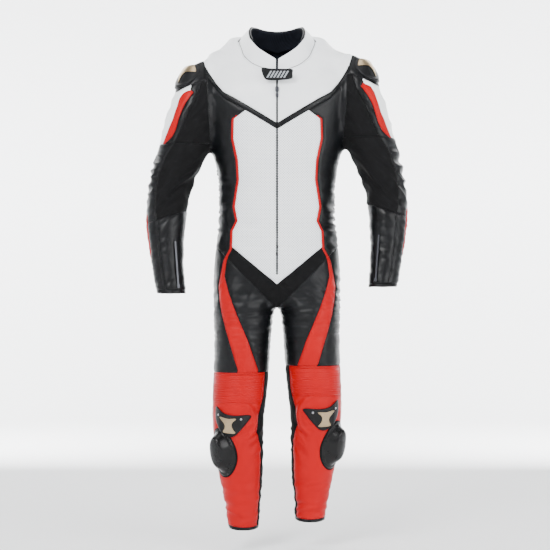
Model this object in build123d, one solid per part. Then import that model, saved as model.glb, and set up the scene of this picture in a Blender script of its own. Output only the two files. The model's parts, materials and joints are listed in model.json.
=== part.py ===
from build123d import *
import math
import os

# One-piece leather riding suit, hanging as if worn, front towards -Y, +Z up, millimetres.
# The origin is the hanger point: the middle of the neck at the height of the shoulder line.
# Left and right are the wearer's: the left side is +X.

# ---- driving dimensions -------------------------------------------------------------------------
LEATHER = 3.0            # leather with its lining
TORSO_LENGTH = 724.0     # hanger point down to the crotch
WAIST_HALF = 161.0       # half the width at the waist
HIP_HALF = 181.0         # half the width at the hips
FRONT_Y = -114.0         # the centre front is one upright line, so that the zip runs straight
SLEEVE_LENGTH = 652.0    # shoulder top down to the cuff edge
LEG_LENGTH = 615.0       # crotch down to the hem
LIFT = {"left": 9.0, "right": -9.0}       # the suit hangs with its left side a little higher
STRIDE = {"left": 14.0, "right": -18.0}   # each foot's place behind or ahead of the hips
SIGN = {"left": 1.0, "right": -1.0}

SEAM_GAP = 3.0           # free gap between two bodies at an armhole, hip or limb seam
ARMHOLE_X = 192.0        # where the armhole seam crosses its own middle height
ARMHOLE_Z = -150.0
ARMHOLE_LEAN = 3.0       # degrees that the armhole seam leans out at the top
ARMPIT_Z = -272.0
HIP_LEAN = 45.0          # degrees of the groin seam, from the crotch up to the hip crest

ELBOW_BEND = 80.0        # degrees that each limb joint flexes
KNEE_BEND = 70.0
KNEE_TURN = 16.0         # degrees that the knee hinge is turned so that a bent shin swings outwards
FLEX_CLEARANCE = 4.0     # extra degrees in each stretch gusset's wedge

ZIP_TOP = -100.0         # main zip, upper end of the chain
ZIP_BOTTOM = -627.0
ZIP_GAP = 10.4           # gap between the two front edges
TEETH_WIDTH = 6.0
TEETH_THICK = 2.4
TAPE_WIDTH = 28.0
TAPE_THICK = 1.0
SLIDER_LENGTH = 14.0
SLIDER_WALL = 1.4
ZIP_CLEARANCE = 0.4      # slider to teeth, and slider to leather
SLIDER_PARK = -117.0     # middle of the slider with the zip closed
PULL_LENGTH = 24.0
PULL_THICK = 1.6

TAB_WIDTH = 86.0         # collar tab
TAB_HEIGHT = 34.0
TAB_THICK = 3.0
TAB_Z = -76.0
TAB_STANDOFF = 5.5       # tab's back face in front of the centre front

CUFF_ZIP_LENGTH = 130.0
HARD_SHELL = 9.0         # how far the knee and shoulder cups stand off the leather
PLATE_THICK = 1.6        # metal plates on the cups
PATCH_THICK = 2.2        # hook-and-loop field under a knee slider
PUCK_HEIGHT = 30.0       # knee slider's stand-off from its patch
FIELD_SIZE = (88.0, 128.0)   # width and height of that field
SHELL_CLEARANCE = 0.5

FAR = 900.0              # longer than any piece, for cutting tools


# ---- stations: height, middle x, half width, half depth, middle y --------------------------------
def torso_stations():
    """Horizontal ellipses from the nape to the crotch; their fronts lie on FRONT_Y from chest to zip end."""
    def on_front(z, half_width, half_depth):
        return (z, 0.0, half_width, half_depth, FRONT_Y + half_depth)

    crotch = -TORSO_LENGTH
    return [
        (62.0, 0.0, 60.0, 34.0, 44.0),
        (34.0, 0.0, 114.0, 54.0, 50.0),
        (6.0, 0.0, 165.0, 70.0, 36.0),
        (-22.0, 0.0, 205.0, 84.0, 26.0),
        (-52.0, 0.0, 212.0, 96.0, 18.0),
        on_front(-100.0, 214.0, 114.0),
        on_front(-190.0, 202.0, 121.0),
        on_front(-270.0, 186.0, 118.0),
        on_front(-350.0, 166.0, 110.0),
        on_front(-430.0, WAIST_HALF, 104.0),
        on_front(-510.0, 168.0, 109.0),
        on_front(-590.0, HIP_HALF - 3.0, 117.0),
        on_front(-635.0, HIP_HALF, 119.0),
        (crotch + 54.0, 0.0, HIP_HALF - 5.0, 106.0, 10.0),
        (crotch + 24.0, 0.0, HIP_HALF - 18.0, 84.0, 17.0),
        (crotch - 6.0, 0.0, HIP_HALF - 36.0, 66.0, 19.0),
    ]


def arm_stations(side):
    """Horizontal ellipses from the shoulder dome to the cuff."""
    s, lift = SIGN[side], LIFT[side]
    k = SLEEVE_LENGTH / 652.0
    rows = [
        (-24.0, 219.0, 18.0, 24.0, 4.0),
        (-36.0, 220.0, 38.0, 42.0, 2.0),
        (-66.0, 222.0, 56.0, 62.0, -1.0),
        (-110.0, 224.0, 67.0, 73.0, -4.0),
        (-150.0, 231.0, 75.0, 77.0, -5.0),
        (-190.0, 243.0, 77.0, 77.0, -6.0),
        (-250.0, 258.0, 73.0, 73.0, -7.0),
        (-320.0, 284.0, 68.0, 69.0, -8.0),
        (-364.0, 299.0, 61.0, 65.0, -8.0),
        (-400.0, 306.0, 58.0, 62.0, -10.0),
        (-440.0, 312.0, 58.0, 61.0, -16.0),
        (-490.0, 314.0, 55.0, 57.0, -24.0),
        (-550.0, 311.0, 49.0, 51.0, -33.0),
        (-610.0, 305.0, 44.0, 46.0, -42.0),
        (-655.0, 298.0, 42.5, 43.0, -49.0),
        (-700.0, 292.0, 43.0, 42.0, -56.0),
    ]
    top = rows[0][0]
    return [(top + (z - top) * k + lift, s * x, a, b, y) for z, x, a, b, y in rows]


def leg_stations(side):
    """Horizontal ellipses from the hip crest to the hem."""
    s, lift, stride = SIGN[side], LIFT[side], STRIDE[side]
    crotch = -TORSO_LENGTH
    k = LEG_LENGTH / 615.0
    rows = [
        (200.0, 90.0, 82.0, 66.0, 4.0),
        (164.0, 92.0, 85.0, 75.0, 5.0),
        (124.0, 92.0, 86.0, 87.0, 6.0),
        (84.0, 93.0, 86.5, 99.0, 8.0),
        (40.0, 94.0, 86.0, 103.0, 8.0),
        (-15.0, 95.0, 84.5, 99.0, 5.0),
        (-66.0, 96.5, 80.0, 93.0, 0.0),
        (-178.0, 101.0, 78.5, 85.0, -4.0),
        (-261.0, 108.0, 75.5, 77.0, -6.0),
        (-312.0, 111.0, 72.5, 72.0, -8.0),
        (-380.0, 107.0, 68.5, 69.0, 0.0),
        (-426.0, 105.0, 66.0, 66.0, 7.0),
        (-470.0, 101.5, 61.5, 62.0, 11.0),
        (-514.0, 98.0, 54.5, 56.0, 12.0),
        (-558.0, 96.0, 47.5, 50.0, 11.0),
        (-630.0, 94.0, 43.0, 46.0, 8.0),
    ]
    return [
        (crotch + z * k + (lift if z < -10 else 0.0), s * x, a, b, y + stride * min(0.0, z) / -615.0)
        for z, x, a, b, y in rows
    ]


def tube(stations, grow=0.0):
    """Solid through a stack of horizontal ellipses, each grown sideways by `grow`.

    A shrunken stack, used to hollow out a limb, also runs a little past both ends.
    """
    overrun = 5.0 if grow < 0 else 0.0
    last = len(stations) - 1
    rings = []
    for index, (z, x, a, b, y) in enumerate(stations):
        shift = overrun if index == 0 else -overrun if index == last else 0.0
        rings.append(Pos(x, y, z + shift) * Ellipse(a + grow, b + grow))
    return Solid() + loft(rings, ruled=True)


def at_height(stations, z):
    """Middle x, half width, half depth and middle y of a stack at height z."""
    for (z1, *one), (z0, *two) in zip(stations, stations[1:]):
        if z0 <= z <= z1:
            t = (z1 - z) / (z1 - z0)
            return [p + (q - p) * t for p, q in zip(one, two)]
    raise ValueError(f"height {z} lies outside the stack")


def surface_point(stations, z, angle, side, out=0.0):
    """Point on a limb at height z; angle is in degrees from the front, positive towards the outer side."""
    x, a, b, y = at_height(stations, z)
    turn = math.radians(angle)
    return Vector(x + SIGN[side] * (a + out) * math.sin(turn), y - (b + out) * math.cos(turn), z)


# ---- cutting tools --------------------------------------------------------------------------------
def prism(points, y_from, y_to):
    """Prism of a polygon given by (x, z) points, between two depths."""
    outline = Polyline(*[(x, y_from, z) for x, z in points], close=True)
    return extrude(make_face(outline), amount=y_to - y_from, dir=(0, 1, 0))


def mirrored(points, side):
    return [(SIGN[side] * x, z) for x, z in points]


def front_prism(points, side):
    return prism(mirrored(points, side), -FAR, 0.0)


def back_prism(points, side):
    return prism(mirrored(points, side), 0.0, FAR)


def half_space(point, normal):
    """Huge block that fills the side of a plane towards which its normal points."""
    return Plane(origin=point, z_dir=normal) * Box(2 * FAR, 2 * FAR, FAR, align=(Align.CENTER, Align.CENTER, Align.MIN))


def armhole_plane(side):
    lean = math.radians(ARMHOLE_LEAN)
    return Vector(SIGN[side] * ARMHOLE_X, 0, ARMHOLE_Z), Vector(SIGN[side] * math.cos(lean), 0, -math.sin(lean))


def hip_plane(side):
    lean = math.radians(HIP_LEAN)
    return Vector(0, 0, -TORSO_LENGTH), Vector(SIGN[side] * math.sin(lean), 0, -math.cos(lean))


def beyond(plane, gap):
    """The limb's side of a seam plane, half a gap away from it."""
    point, normal = plane
    return half_space(point + normal * (gap / 2), normal)


def before(plane, gap):
    point, normal = plane
    return half_space(point - normal * (gap / 2), -normal)


def armhole_block(side):
    """What the armhole takes off the torso: everything outside its seam, above the armpit."""
    point, normal = armhole_plane(side)
    return half_space(point - normal * (SEAM_GAP / 2), normal) & half_space((0, 0, ARMPIT_Z), (0, 0, 1))


def wedge(pivot, bend, forward, turn=0.0):
    """Wedge that a limb closes as it flexes: its edge is the pivot's line along X, turned about Z."""
    half = math.radians((bend + FLEX_CLEARANCE) / 2)
    reach = 150.0
    y_end = pivot.Y - forward * reach
    rise = reach * math.tan(half)
    corners = [(pivot.Y, pivot.Z), (y_end, pivot.Z + rise), (y_end, pivot.Z - rise)]
    outline = Polyline(*[(pivot.X - reach, y, z) for y, z in corners], close=True)
    solid = extrude(make_face(outline), amount=2 * reach, dir=(1, 0, 0))
    return solid.rotate(Axis(pivot, (0, 0, 1)), turn)


def ellipsoid(centre, radii, turn_z=0.0):
    """Ellipsoid with its own x axis turned by turn_z degrees about Z."""
    return Pos(*centre) * Rot(0, 0, turn_z) * scale(Sphere(1.0), by=tuple(radii))


def outward_prism(centre, direction, points, depth):
    """Prism of an outline drawn square to a level direction: points are (along the skin, up)."""
    plane = Plane(origin=centre, x_dir=Vector(-direction.Y, direction.X, 0), z_dir=direction)
    face = make_face(Polyline(*[plane.from_local_coords((u, v, 0)) for u, v in points], close=True))
    return extrude(face, amount=depth, dir=direction) + extrude(face, amount=depth, dir=-direction)


def only_solids(shape):
    """The solids of a shape that are more than a sliver, as one compound or one solid."""
    kept = [s for s in shape.solids() if s.volume > 20.0]
    return kept[0] if len(kept) == 1 else Compound(children=kept)


# ---- places that several pieces share --------------------------------------------------------------
def elbow_pivot(side):
    x, a, b, y = at_height(arm_stations(side), -392.0 + LIFT[side])
    return Vector(x, y - 0.42 * b, -392.0 + LIFT[side])


def knee_axis(side):
    turn = math.radians(-KNEE_TURN * SIGN[side])
    return Vector(math.cos(turn), math.sin(turn), 0)


def knee_pivot(side):
    z = -TORSO_LENGTH - 258.0 + LIFT[side]
    x, a, b, y = at_height(leg_stations(side), z)
    return Vector(x, y + 0.36 * b, z)


def shoulder_pivot(side):
    point, normal = armhole_plane(side)
    return Vector(point.X, -5.0, ARMHOLE_Z)


def hip_pivot(side):
    """Middle of the oblique groin section."""
    along = 0.5 * HIP_HALF
    return Vector(SIGN[side] * along, 4.0, -TORSO_LENGTH + along)


PUCK_ANGLE = {"left": 54.0, "right": 46.0}   # where each knee slider sits, from the front towards the outer side
CUP_ANGLE = 16.0


def shin_height(side, below_crotch):
    return -TORSO_LENGTH - below_crotch * LEG_LENGTH / 615.0 + LIFT[side]


def direction_of(angle, side):
    turn = math.radians(angle)
    return Vector(SIGN[side] * math.sin(turn), -math.cos(turn), 0)


# ---- torso ---------------------------------------------------------------------------------------
YOKE_EDGE = [(0.0, -212.0), (87.0, -159.0), (154.0, -120.0), (182.0, -84.0), (230.0, -8.0)]
TRIM_WIDTH = 17.0
PANEL_EDGE = [(88.0, -176.0), (112.0, -198.0), (100.0, -330.0), (106.0, -430.0), (100.0, -500.0), (123.0, -556.0)]
PANEL_TIP = -655.0
LUMBAR_TOP, LUMBAR_BOTTOM = -330.0, -480.0


def torso_shell():
    stations = torso_stations()
    shell = tube(stations) - tube(stations, -LEATHER)
    for side in SIGN:
        shell = shell - armhole_block(side)
        shell = shell & before(hip_plane(side), SEAM_GAP)
    return shell - neck_cutter()


COLLAR_FOOT = (-80.0, 122.0, 112.0)     # height, half width and half depth of the collar's cone
COLLAR_SEAM = (34.0, 113.0, 101.0)      # at the shoulder seam
COLLAR_RIM = (78.0, 66.0, 70.0)
COLLAR_MIDDLE = 6.0
COLLAR_LINING = 2.5
NECK_DIP = 1.06                         # how steeply the neck seam falls towards the front
NOTCH_EDGE = [(0, -28), (24, -12), (54, 8), (80, 38), (92, 95)]  # half width and height of the collar's front edge


def collar_cone(grow):
    rings = [Pos(0, COLLAR_MIDDLE, z) * Ellipse(a + grow, b + grow) for z, a, b in (COLLAR_FOOT, COLLAR_SEAM, COLLAR_RIM)]
    return Solid() + loft(rings, ruled=True)


def above_neck_seam():
    """Everything above the neck seam: level round the back, falling towards the centre front."""
    seam_z = COLLAR_SEAM[0]
    low_y = -140.0
    outline = [(low_y, seam_z + (low_y - COLLAR_MIDDLE) * NECK_DIP), (COLLAR_MIDDLE, seam_z), (FAR, seam_z), (FAR, FAR), (low_y, FAR)]
    profile = Polyline(*[(-FAR, y, z) for y, z in outline], close=True)
    return extrude(make_face(profile), amount=2 * FAR, dir=(1, 0, 0))


def neck_cutter():
    return collar_cone(0.4) & above_neck_seam()


def collar_ring(outside, inside):
    """Tapered ring between two offsets of the collar's skin, notched and open at the centre front."""
    inner = Solid() + loft(
        [Pos(0, COLLAR_MIDDLE, z) * Ellipse(a + inside, b + inside)
         for z, a, b in (COLLAR_FOOT, COLLAR_SEAM, COLLAR_RIM, (COLLAR_RIM[0] + 5.0, *COLLAR_RIM[1:]))],
        ruled=True,
    )
    ring = (collar_cone(outside) - inner) & above_neck_seam()
    notch = prism([*NOTCH_EDGE, *[(-x, z) for x, z in reversed(NOTCH_EDGE[1:])]], -FAR, 0.0)
    return ring - notch - Pos(0, -FAR / 2, 0) * Box(ZIP_GAP, FAR, FAR)


def torso_panels():
    shell = torso_shell()
    edge = ZIP_GAP / 2
    top = 90.0
    out = 260.0
    yoke_line = [(edge if x == 0.0 else x, z) for x, z in YOKE_EDGE]
    trim_line = [(x, z - TRIM_WIDTH) for x, z in yoke_line[:3]]
    hip_line_z = -TORSO_LENGTH + PANEL_EDGE[-1][0]
    pieces = {}
    yokes, trims = [], []
    for side in SIGN:
        yokes += (shell & front_prism([*yoke_line, (out, top), (edge, top)], side)).solids()
        trims += (shell & front_prism([*yoke_line[:3], *reversed(trim_line)], side)).solids()
        trim_at_panel = trim_line[1]
        panel = [(edge, trim_line[0][1]), trim_at_panel, *PANEL_EDGE[1:], (edge, PANEL_TIP)]
        pieces[f"front_panel_{side}"] = shell & front_prism(panel, side)
        chest = [trim_at_panel, trim_line[2], yoke_line[2], yoke_line[3], yoke_line[4], (out, -8.0), (out, -460.0)]
        lower = [(168.0, -556.0), PANEL_EDGE[-1], *reversed(PANEL_EDGE[1:-1])]
        pieces[f"side_panel_{side}"] = shell & front_prism([*chest, (out, -464.0), *lower], side)
    pieces["front_yoke"] = Compound(children=[s for s in yokes if s.volume > 20.0])
    pieces["chest_v_trim"] = Compound(children=[s for s in trims if s.volume > 20.0])

    def both_sides(points):
        return front_prism(points, "left") + front_prism(points, "right")

    groin = [(0.0, PANEL_TIP), (edge, PANEL_TIP), PANEL_EDGE[-1], (168.0, -556.0), (out, -464.0), (out, -900.0), (0, -900.0)]
    pieces["crotch_stretch_panel"] = shell & both_sides(groin)

    def across(z_high, z_low):
        return prism([(-out, z_high), (out, z_high), (out, z_low), (-out, z_low)], 0.0, FAR)

    pieces["upper_back_panel"] = shell & across(top, LUMBAR_TOP)
    pieces["lumbar_stretch_panel"] = shell & across(LUMBAR_TOP, LUMBAR_BOTTOM)
    pieces["seat_panel"] = shell & across(LUMBAR_BOTTOM, -FAR)
    return pieces


def back_protector():
    stations = torso_stations()
    pad = tube(stations, -LEATHER - SHELL_CLEARANCE) - tube(stations, -LEATHER - 10.5)
    outline = [(-45.0, -118.0), (45.0, -118.0), (92.0, -160.0), (92.0, -250.0), (60.0, -410.0), (30.0, -452.0)]
    outline += [(-30.0, -452.0), (-60.0, -410.0), (-92.0, -250.0), (-92.0, -160.0)]
    return pad & prism(outline, 20.0, FAR)


def collar():
    return {
        "collar_shell": collar_ring(0.0, -LEATHER),
        "collar_lining": collar_ring(-LEATHER, -LEATHER - COLLAR_LINING),
    }


def main_zip():
    """Chain of teeth on its tapes, a stop at the lower end, and the slider with its pull."""
    teeth_front = FRONT_Y + 0.2
    teeth_back = teeth_front + TEETH_THICK
    length = ZIP_TOP - ZIP_BOTTOM
    middle = (ZIP_TOP + ZIP_BOTTOM) / 2
    teeth = Pos(0, (teeth_front + teeth_back) / 2, middle) * Box(TEETH_WIDTH, TEETH_THICK, length)
    tape_front = FRONT_Y + LEATHER + 0.8
    tape = Pos(0, tape_front + TAPE_THICK / 2, middle) * Box(TAPE_WIDTH, TAPE_THICK, length)
    web = Pos(0, (teeth_back + tape_front) / 2, middle) * Box(2.0, tape_front - teeth_back + 1.0, length - 2.0)
    stop = Pos(0, (teeth_front + tape_front) / 2, ZIP_BOTTOM) * Box(ZIP_GAP - 2, tape_front - teeth_front + 0.6, 12)
    chain = teeth + tape + web + stop

    plate_back = teeth_front - ZIP_CLEARANCE
    plate = Pos(0, plate_back - 1.0, SLIDER_PARK) * Box(ZIP_GAP - 0.8, 2.0, SLIDER_LENGTH)
    slider = fillet(plate.edges().filter_by(Axis.Y), 2.5)
    rail_x = TEETH_WIDTH / 2 + ZIP_CLEARANCE + SLIDER_WALL / 2
    for sign in (-1, 1):
        rail = Pos(sign * rail_x, plate_back + 1.0 - 0.4, SLIDER_PARK) * Box(SLIDER_WALL, 2.8, SLIDER_LENGTH - 4)
        slider += rail
    pin_y, pin_z = pull_pivot()
    for sign in (-1, 1):
        ear_box = Pos(sign * 3.9, (pin_y + plate_back - 2.0) / 2, pin_z) * Box(1.4, plate_back - 2.0 - pin_y + 2.4, 3.2)
        slider += ear_box
    slider += Pos(0, pin_y, pin_z) * Rot(0, 90, 0) * Cylinder(0.6, 7.8)

    knuckle = Pos(0, pin_y, pin_z) * Rot(0, 90, 0) * Cylinder(1.4, 5.6)
    blade = Pos(0, pin_y, pin_z - PULL_LENGTH / 2) * Box(5.6, PULL_THICK, PULL_LENGTH)
    grip = Pos(0, pin_y, pin_z - PULL_LENGTH + 4) * Box(7.6, PULL_THICK, 10)
    pull = knuckle + blade + fillet(grip.edges().filter_by(Axis.Y), 2.0)
    pull = pull - Pos(0, pin_y, pin_z) * Rot(0, 90, 0) * Cylinder(0.66, 20)
    return {"main_zip_chain": chain, "main_zip_slider": slider, "main_zip_pull": pull}


def pull_pivot():
    """Depth and height of the pull's pin."""
    return FRONT_Y + 0.2 - ZIP_CLEARANCE - 2.0 - 1.6, SLIDER_PARK + 3.0


def collar_tab():
    back = FRONT_Y - TAB_STANDOFF
    half, rise = TAB_WIDTH / 2, TAB_HEIGHT / 2
    outline = [(-half, rise), (half, rise - 2), (half, -rise + 6), (half - 8, -rise), (-half + 16, -rise), (-half + 3, -2)]
    tab = prism([(x, TAB_Z + z) for x, z in outline], back - TAB_THICK, back)
    tab = fillet(tab.edges().filter_by(Axis.Y), 3.0)
    patch = Pos(-half + 26, back + 1.4, TAB_Z) * Box(24, 2.0, 22)
    return {"collar_tab": tab, "collar_tab_patch": patch}


def tab_pivot():
    return Vector(TAB_WIDTH / 2 - 3.0, FRONT_Y - TAB_STANDOFF - TAB_THICK / 2, TAB_Z)


# ---- sleeves ------------------------------------------------------------------------------------
STRETCH_ANGLE = 22.0     # the seam between stretch fabric and leather, from the front towards the outer side
CUFF_EDGE_WIDTH = 9.0


def limb_split(stations, z_high, z_low, side, angle):
    """Plane through a limb's axis between two heights; its normal points to the outer and rear side."""
    x1, _, _, y1 = at_height(stations, z_high)
    x0, _, _, y0 = at_height(stations, z_low)
    axis = Vector(x1 - x0, y1 - y0, z_high - z_low).normalized()
    normal = direction_of(angle + 90.0, side)
    normal = (normal - axis * axis.dot(normal)).normalized()
    return Vector(x0, y0, z_low), normal


def sleeve(side):
    stations = arm_stations(side)
    cuff_z = stations[0][0] - SLEEVE_LENGTH + 4.0
    pivot = elbow_pivot(side)
    shell = tube(stations) - tube(stations, -LEATHER)
    shell = shell & beyond(armhole_plane(side), SEAM_GAP)
    shell = shell & half_space((0, 0, cuff_z), (0, 0, 1))
    flex = wedge(pivot, ELBOW_BEND, forward=1)
    gusset = shell & flex
    rest = shell - flex
    level = Vector(0, 0, pivot.Z)
    upper = rest & half_space(level + Vector(0, 0, SEAM_GAP / 2), (0, 0, 1))
    lower = rest & half_space(level - Vector(0, 0, SEAM_GAP / 2), (0, 0, -1))
    binding = lower & half_space((0, 0, cuff_z + CUFF_EDGE_WIDTH), (0, 0, -1))
    lower = lower & half_space((0, 0, cuff_z + CUFF_EDGE_WIDTH), (0, 0, 1))
    upper_cut = limb_split(stations, stations[3][0], pivot.Z, side, STRETCH_ANGLE)
    lower_cut = limb_split(stations, pivot.Z, cuff_z + 20, side, STRETCH_ANGLE)
    gusset = gusset & half_space((pivot.X, pivot.Y - SEAM_GAP, pivot.Z), (0, -1, 0))
    pieces = {
        f"upper_sleeve_leather_{side}": upper & half_space(*upper_cut),
        f"upper_sleeve_stretch_{side}": upper & half_space(upper_cut[0], -upper_cut[1]),
        f"elbow_stretch_{side}": gusset,
        f"forearm_leather_{side}": lower & half_space(*lower_cut),
        f"forearm_front_{side}": lower & half_space(lower_cut[0], -lower_cut[1]),
        f"cuff_binding_{side}": binding,
    }
    pieces.update(shoulder_cup(side, stations))
    pieces.update(cuff_zip(side, stations, cuff_z + CUFF_EDGE_WIDTH))
    return pieces


def shoulder_cup(side, stations):
    s, lift = SIGN[side], LIFT[side]
    centre = (s * 232.0, -2.0, -58.0 + lift)
    radii = (56.0, 60.0, 50.0)
    under = tube(stations, SHELL_CLEARANCE)
    room = half_space((s * (ARMHOLE_X + 16.0), 0, 0), (s, 0, 0))
    rim = half_space((s * 275.0, 0, -90.0 + lift), (-s * 0.25, 0, 0.97))
    body = ellipsoid(centre, radii)
    cup = ((body & room) & rim) - under
    skin = ellipsoid(centre, [r + PLATE_THICK for r in radii]) - ellipsoid(centre, [r + 0.05 for r in radii])
    outline = [(18.0, -8.0), (56.0, -34.0), (66.0, -20.0), (48.0, 6.0), (24.0, 14.0)]
    blade = prism([(s * (200.0 + x), z + lift) for x, z in outline], -52.0, 44.0)
    plate = (skin & blade) & half_space(centre, (0, 0, 1))
    return {f"shoulder_cup_{side}": cup, f"shoulder_plate_{side}": plate}


CUFF_ZIP_ANGLE = -32.0
CUFF_ZIP_LIFT = 2.6


def cuff_zip_line(side):
    """Upper and lower end of the cuff zip's middle line, and the way out of the sleeve there."""
    stations = arm_stations(side)
    cuff_z = stations[0][0] - SLEEVE_LENGTH + 4.0 + CUFF_EDGE_WIDTH
    low = surface_point(stations, cuff_z + 6.0, CUFF_ZIP_ANGLE, side, CUFF_ZIP_LIFT)
    high = surface_point(stations, cuff_z + 6.0 + CUFF_ZIP_LENGTH, CUFF_ZIP_ANGLE, side, CUFF_ZIP_LIFT)
    return high, low, direction_of(CUFF_ZIP_ANGLE, side)


def cuff_zip(side, stations, low_z):
    high, low, out = cuff_zip_line(side)
    along = (low - high).normalized()
    out = (out - along * along.dot(out)).normalized()
    frame = Plane(origin=high, x_dir=along, z_dir=out)
    length = (low - high).length
    start = (Align.MIN, Align.CENTER, Align.CENTER)
    chain = frame * Box(length, 5.0, 1.8, align=start)
    slider_length = 9.0
    plate = frame * Pos(length - slider_length - 1.0, 0, 1.8) * Box(slider_length, 8.0, 1.0, align=start)
    for sign in (-1, 1):
        plate += frame * Pos(length - slider_length - 1.0, sign * 3.5, 0.7) * Box(slider_length, 1.0, 2.0, align=start)
    return {f"cuff_zip_chain_{side}": chain, f"cuff_zip_slider_{side}": plate}


# ---- legs ---------------------------------------------------------------------------------------
ACCORDION_TOP = 175.0    # below the crotch
HEM_WIDTH = 9.0


def leg(side):
    stations = leg_stations(side)
    hem_z = shin_height(side, 608.0)
    pivot = knee_pivot(side)
    shell = tube(stations) - tube(stations, -LEATHER)
    shell = shell & beyond(hip_plane(side), SEAM_GAP)
    shell = shell & half_space((0, 0, hem_z), (0, 0, 1))
    flex = wedge(pivot, KNEE_BEND, forward=-1, turn=-KNEE_TURN * SIGN[side])
    behind = Vector(0, 0, 1).cross(knee_axis(side))
    gusset = (shell & flex) & half_space(pivot + behind * SEAM_GAP, behind)
    rest = shell - flex
    upper = rest & half_space((0, 0, pivot.Z + SEAM_GAP / 2), (0, 0, 1))
    lower = rest & half_space((0, 0, pivot.Z - SEAM_GAP / 2), (0, 0, -1))
    hem = lower & half_space((0, 0, hem_z + HEM_WIDTH), (0, 0, -1))
    lower = lower & half_space((0, 0, hem_z + HEM_WIDTH), (0, 0, 1))
    upper_cut = limb_split(stations, stations[5][0], pivot.Z, side, 90.0)
    lower_cut = limb_split(stations, pivot.Z, hem_z, side, 90.0)
    accordion_z = shin_height(side, ACCORDION_TOP)
    front = upper & half_space(upper_cut[0], -upper_cut[1])
    pieces = {
        f"thigh_front_{side}": front & half_space((0, 0, accordion_z), (0, 0, 1)),
        f"thigh_back_{side}": upper & half_space(*upper_cut),
        f"knee_accordion_{side}": front & half_space((0, 0, accordion_z), (0, 0, -1)),
        f"knee_back_stretch_{side}": gusset,
        f"shin_front_{side}": lower & half_space(lower_cut[0], -lower_cut[1]),
        f"calf_panel_{side}": lower & half_space(*lower_cut),
        f"hem_binding_{side}": hem,
    }
    pieces.update(knee_cup(side, stations))
    pieces.update(knee_slider(side, stations))
    return pieces


def knee_cup(side, stations):
    """Domed three-cornered cup over the knee, with a waisted metal plate and two screws."""
    z = shin_height(side, 307.0)
    out = direction_of(CUP_ANGLE, side)
    skin = surface_point(stations, z, CUP_ANGLE, side)
    s = SIGN[side]
    outline = [(-46, 12), (-24, 17), (-6, 18), (22, 32), (44, 46), (48, 8), (34, -24), (6, -43), (-12, -34), (-28, -8)]
    radii = (72.0, 34.0, 56.0)
    centre = skin - out * (34.0 - HARD_SHELL - 3.0)
    turn = s * CUP_ANGLE
    under = tube(stations, SHELL_CLEARANCE)
    body = ellipsoid(centre, radii, turn)
    profile = outward_prism(skin, out, [(s * u, v) for u, v in outline], 60.0)
    cup = (body & profile) - under - slider_field(side, stations, SHELL_CLEARANCE)
    waist = [(-14, 16), (26, 22), (12, 2), (24, -24), (-4, -22), (4, 2)]
    skin_plate = ellipsoid(centre, [r + PLATE_THICK for r in radii], turn) - ellipsoid(centre, [r + 0.05 for r in radii], turn)
    front = half_space(centre, out)
    plate = (skin_plate & outward_prism(skin, out, [(s * u, v) for u, v in waist], 60.0)) & front
    screws = []
    for u, v in ((-26, 2), (38, 18)):
        disc = [(s * u + 3.2 * math.cos(t), v + 3.2 * math.sin(t)) for t in [math.radians(k * 30) for k in range(12)]]
        screws += ((skin_plate & outward_prism(skin, out, disc, 60.0)) & front).solids()
    hardware = Compound(children=[*plate.solids(), *screws])
    return {f"knee_cup_{side}": cup, f"knee_plate_{side}": hardware}


def slider_field(side, stations, margin):
    """Oval column, square to the skin, that the hook-and-loop field and the puck stay inside."""
    angle = PUCK_ANGLE[side]
    out = direction_of(angle, side)
    skin = surface_point(stations, shin_height(side, 388.0), angle, side)
    half_width, half_height = FIELD_SIZE[0] / 2 + margin, FIELD_SIZE[1] / 2 + margin
    turns = [math.radians(k * 20) for k in range(18)]
    outline = [(half_width * math.cos(t), half_height * math.sin(t)) for t in turns]
    return outward_prism(skin, out, outline, 70.0) & half_space(skin - out * 45.0, out)


def knee_slider(side, stations):
    """Replaceable puck on its hook-and-loop field, at the outer side below the knee."""
    z = shin_height(side, 388.0)
    angle = PUCK_ANGLE[side]
    out = direction_of(angle, side)
    skin = surface_point(stations, z, angle, side)
    field = slider_field(side, stations, 0.0)
    patch = (tube(stations, SHELL_CLEARANCE + PATCH_THICK) - tube(stations, SHELL_CLEARANCE)) & field
    radii = (FIELD_SIZE[0] / 2 - 4.0, PUCK_HEIGHT + 14.0, FIELD_SIZE[1] / 2 - 4.0)
    centre = skin - out * 11.0
    body = ellipsoid(centre, radii, SIGN[side] * angle)
    puck = (body & half_space(skin - out * 30.0, out)) - tube(stations, 2 * SHELL_CLEARANCE + PATCH_THICK)
    return {f"slider_patch_{side}": patch, f"knee_slider_{side}": puck}


# ---- build --------------------------------------------------------------------------------------
def build():
    pieces = {}
    pieces.update(torso_panels())
    pieces["back_protector"] = back_protector()
    pieces.update(collar())
    pieces.update(main_zip())
    pieces.update(collar_tab())
    for side in SIGN:
        pieces.update(sleeve(side))
        pieces.update(leg(side))
    return pieces


if __name__ == "__main__":
    os.makedirs("parts", exist_ok=True)
    for name, shape in build().items():
        export_step(only_solids(shape), f"parts/{name}.step")
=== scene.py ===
import json
import math

import bmesh
import bpy
import numpy as np
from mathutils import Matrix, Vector, noise
from mathutils.bvhtree import BVHTree
from mathutils.kdtree import KDTree


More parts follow.
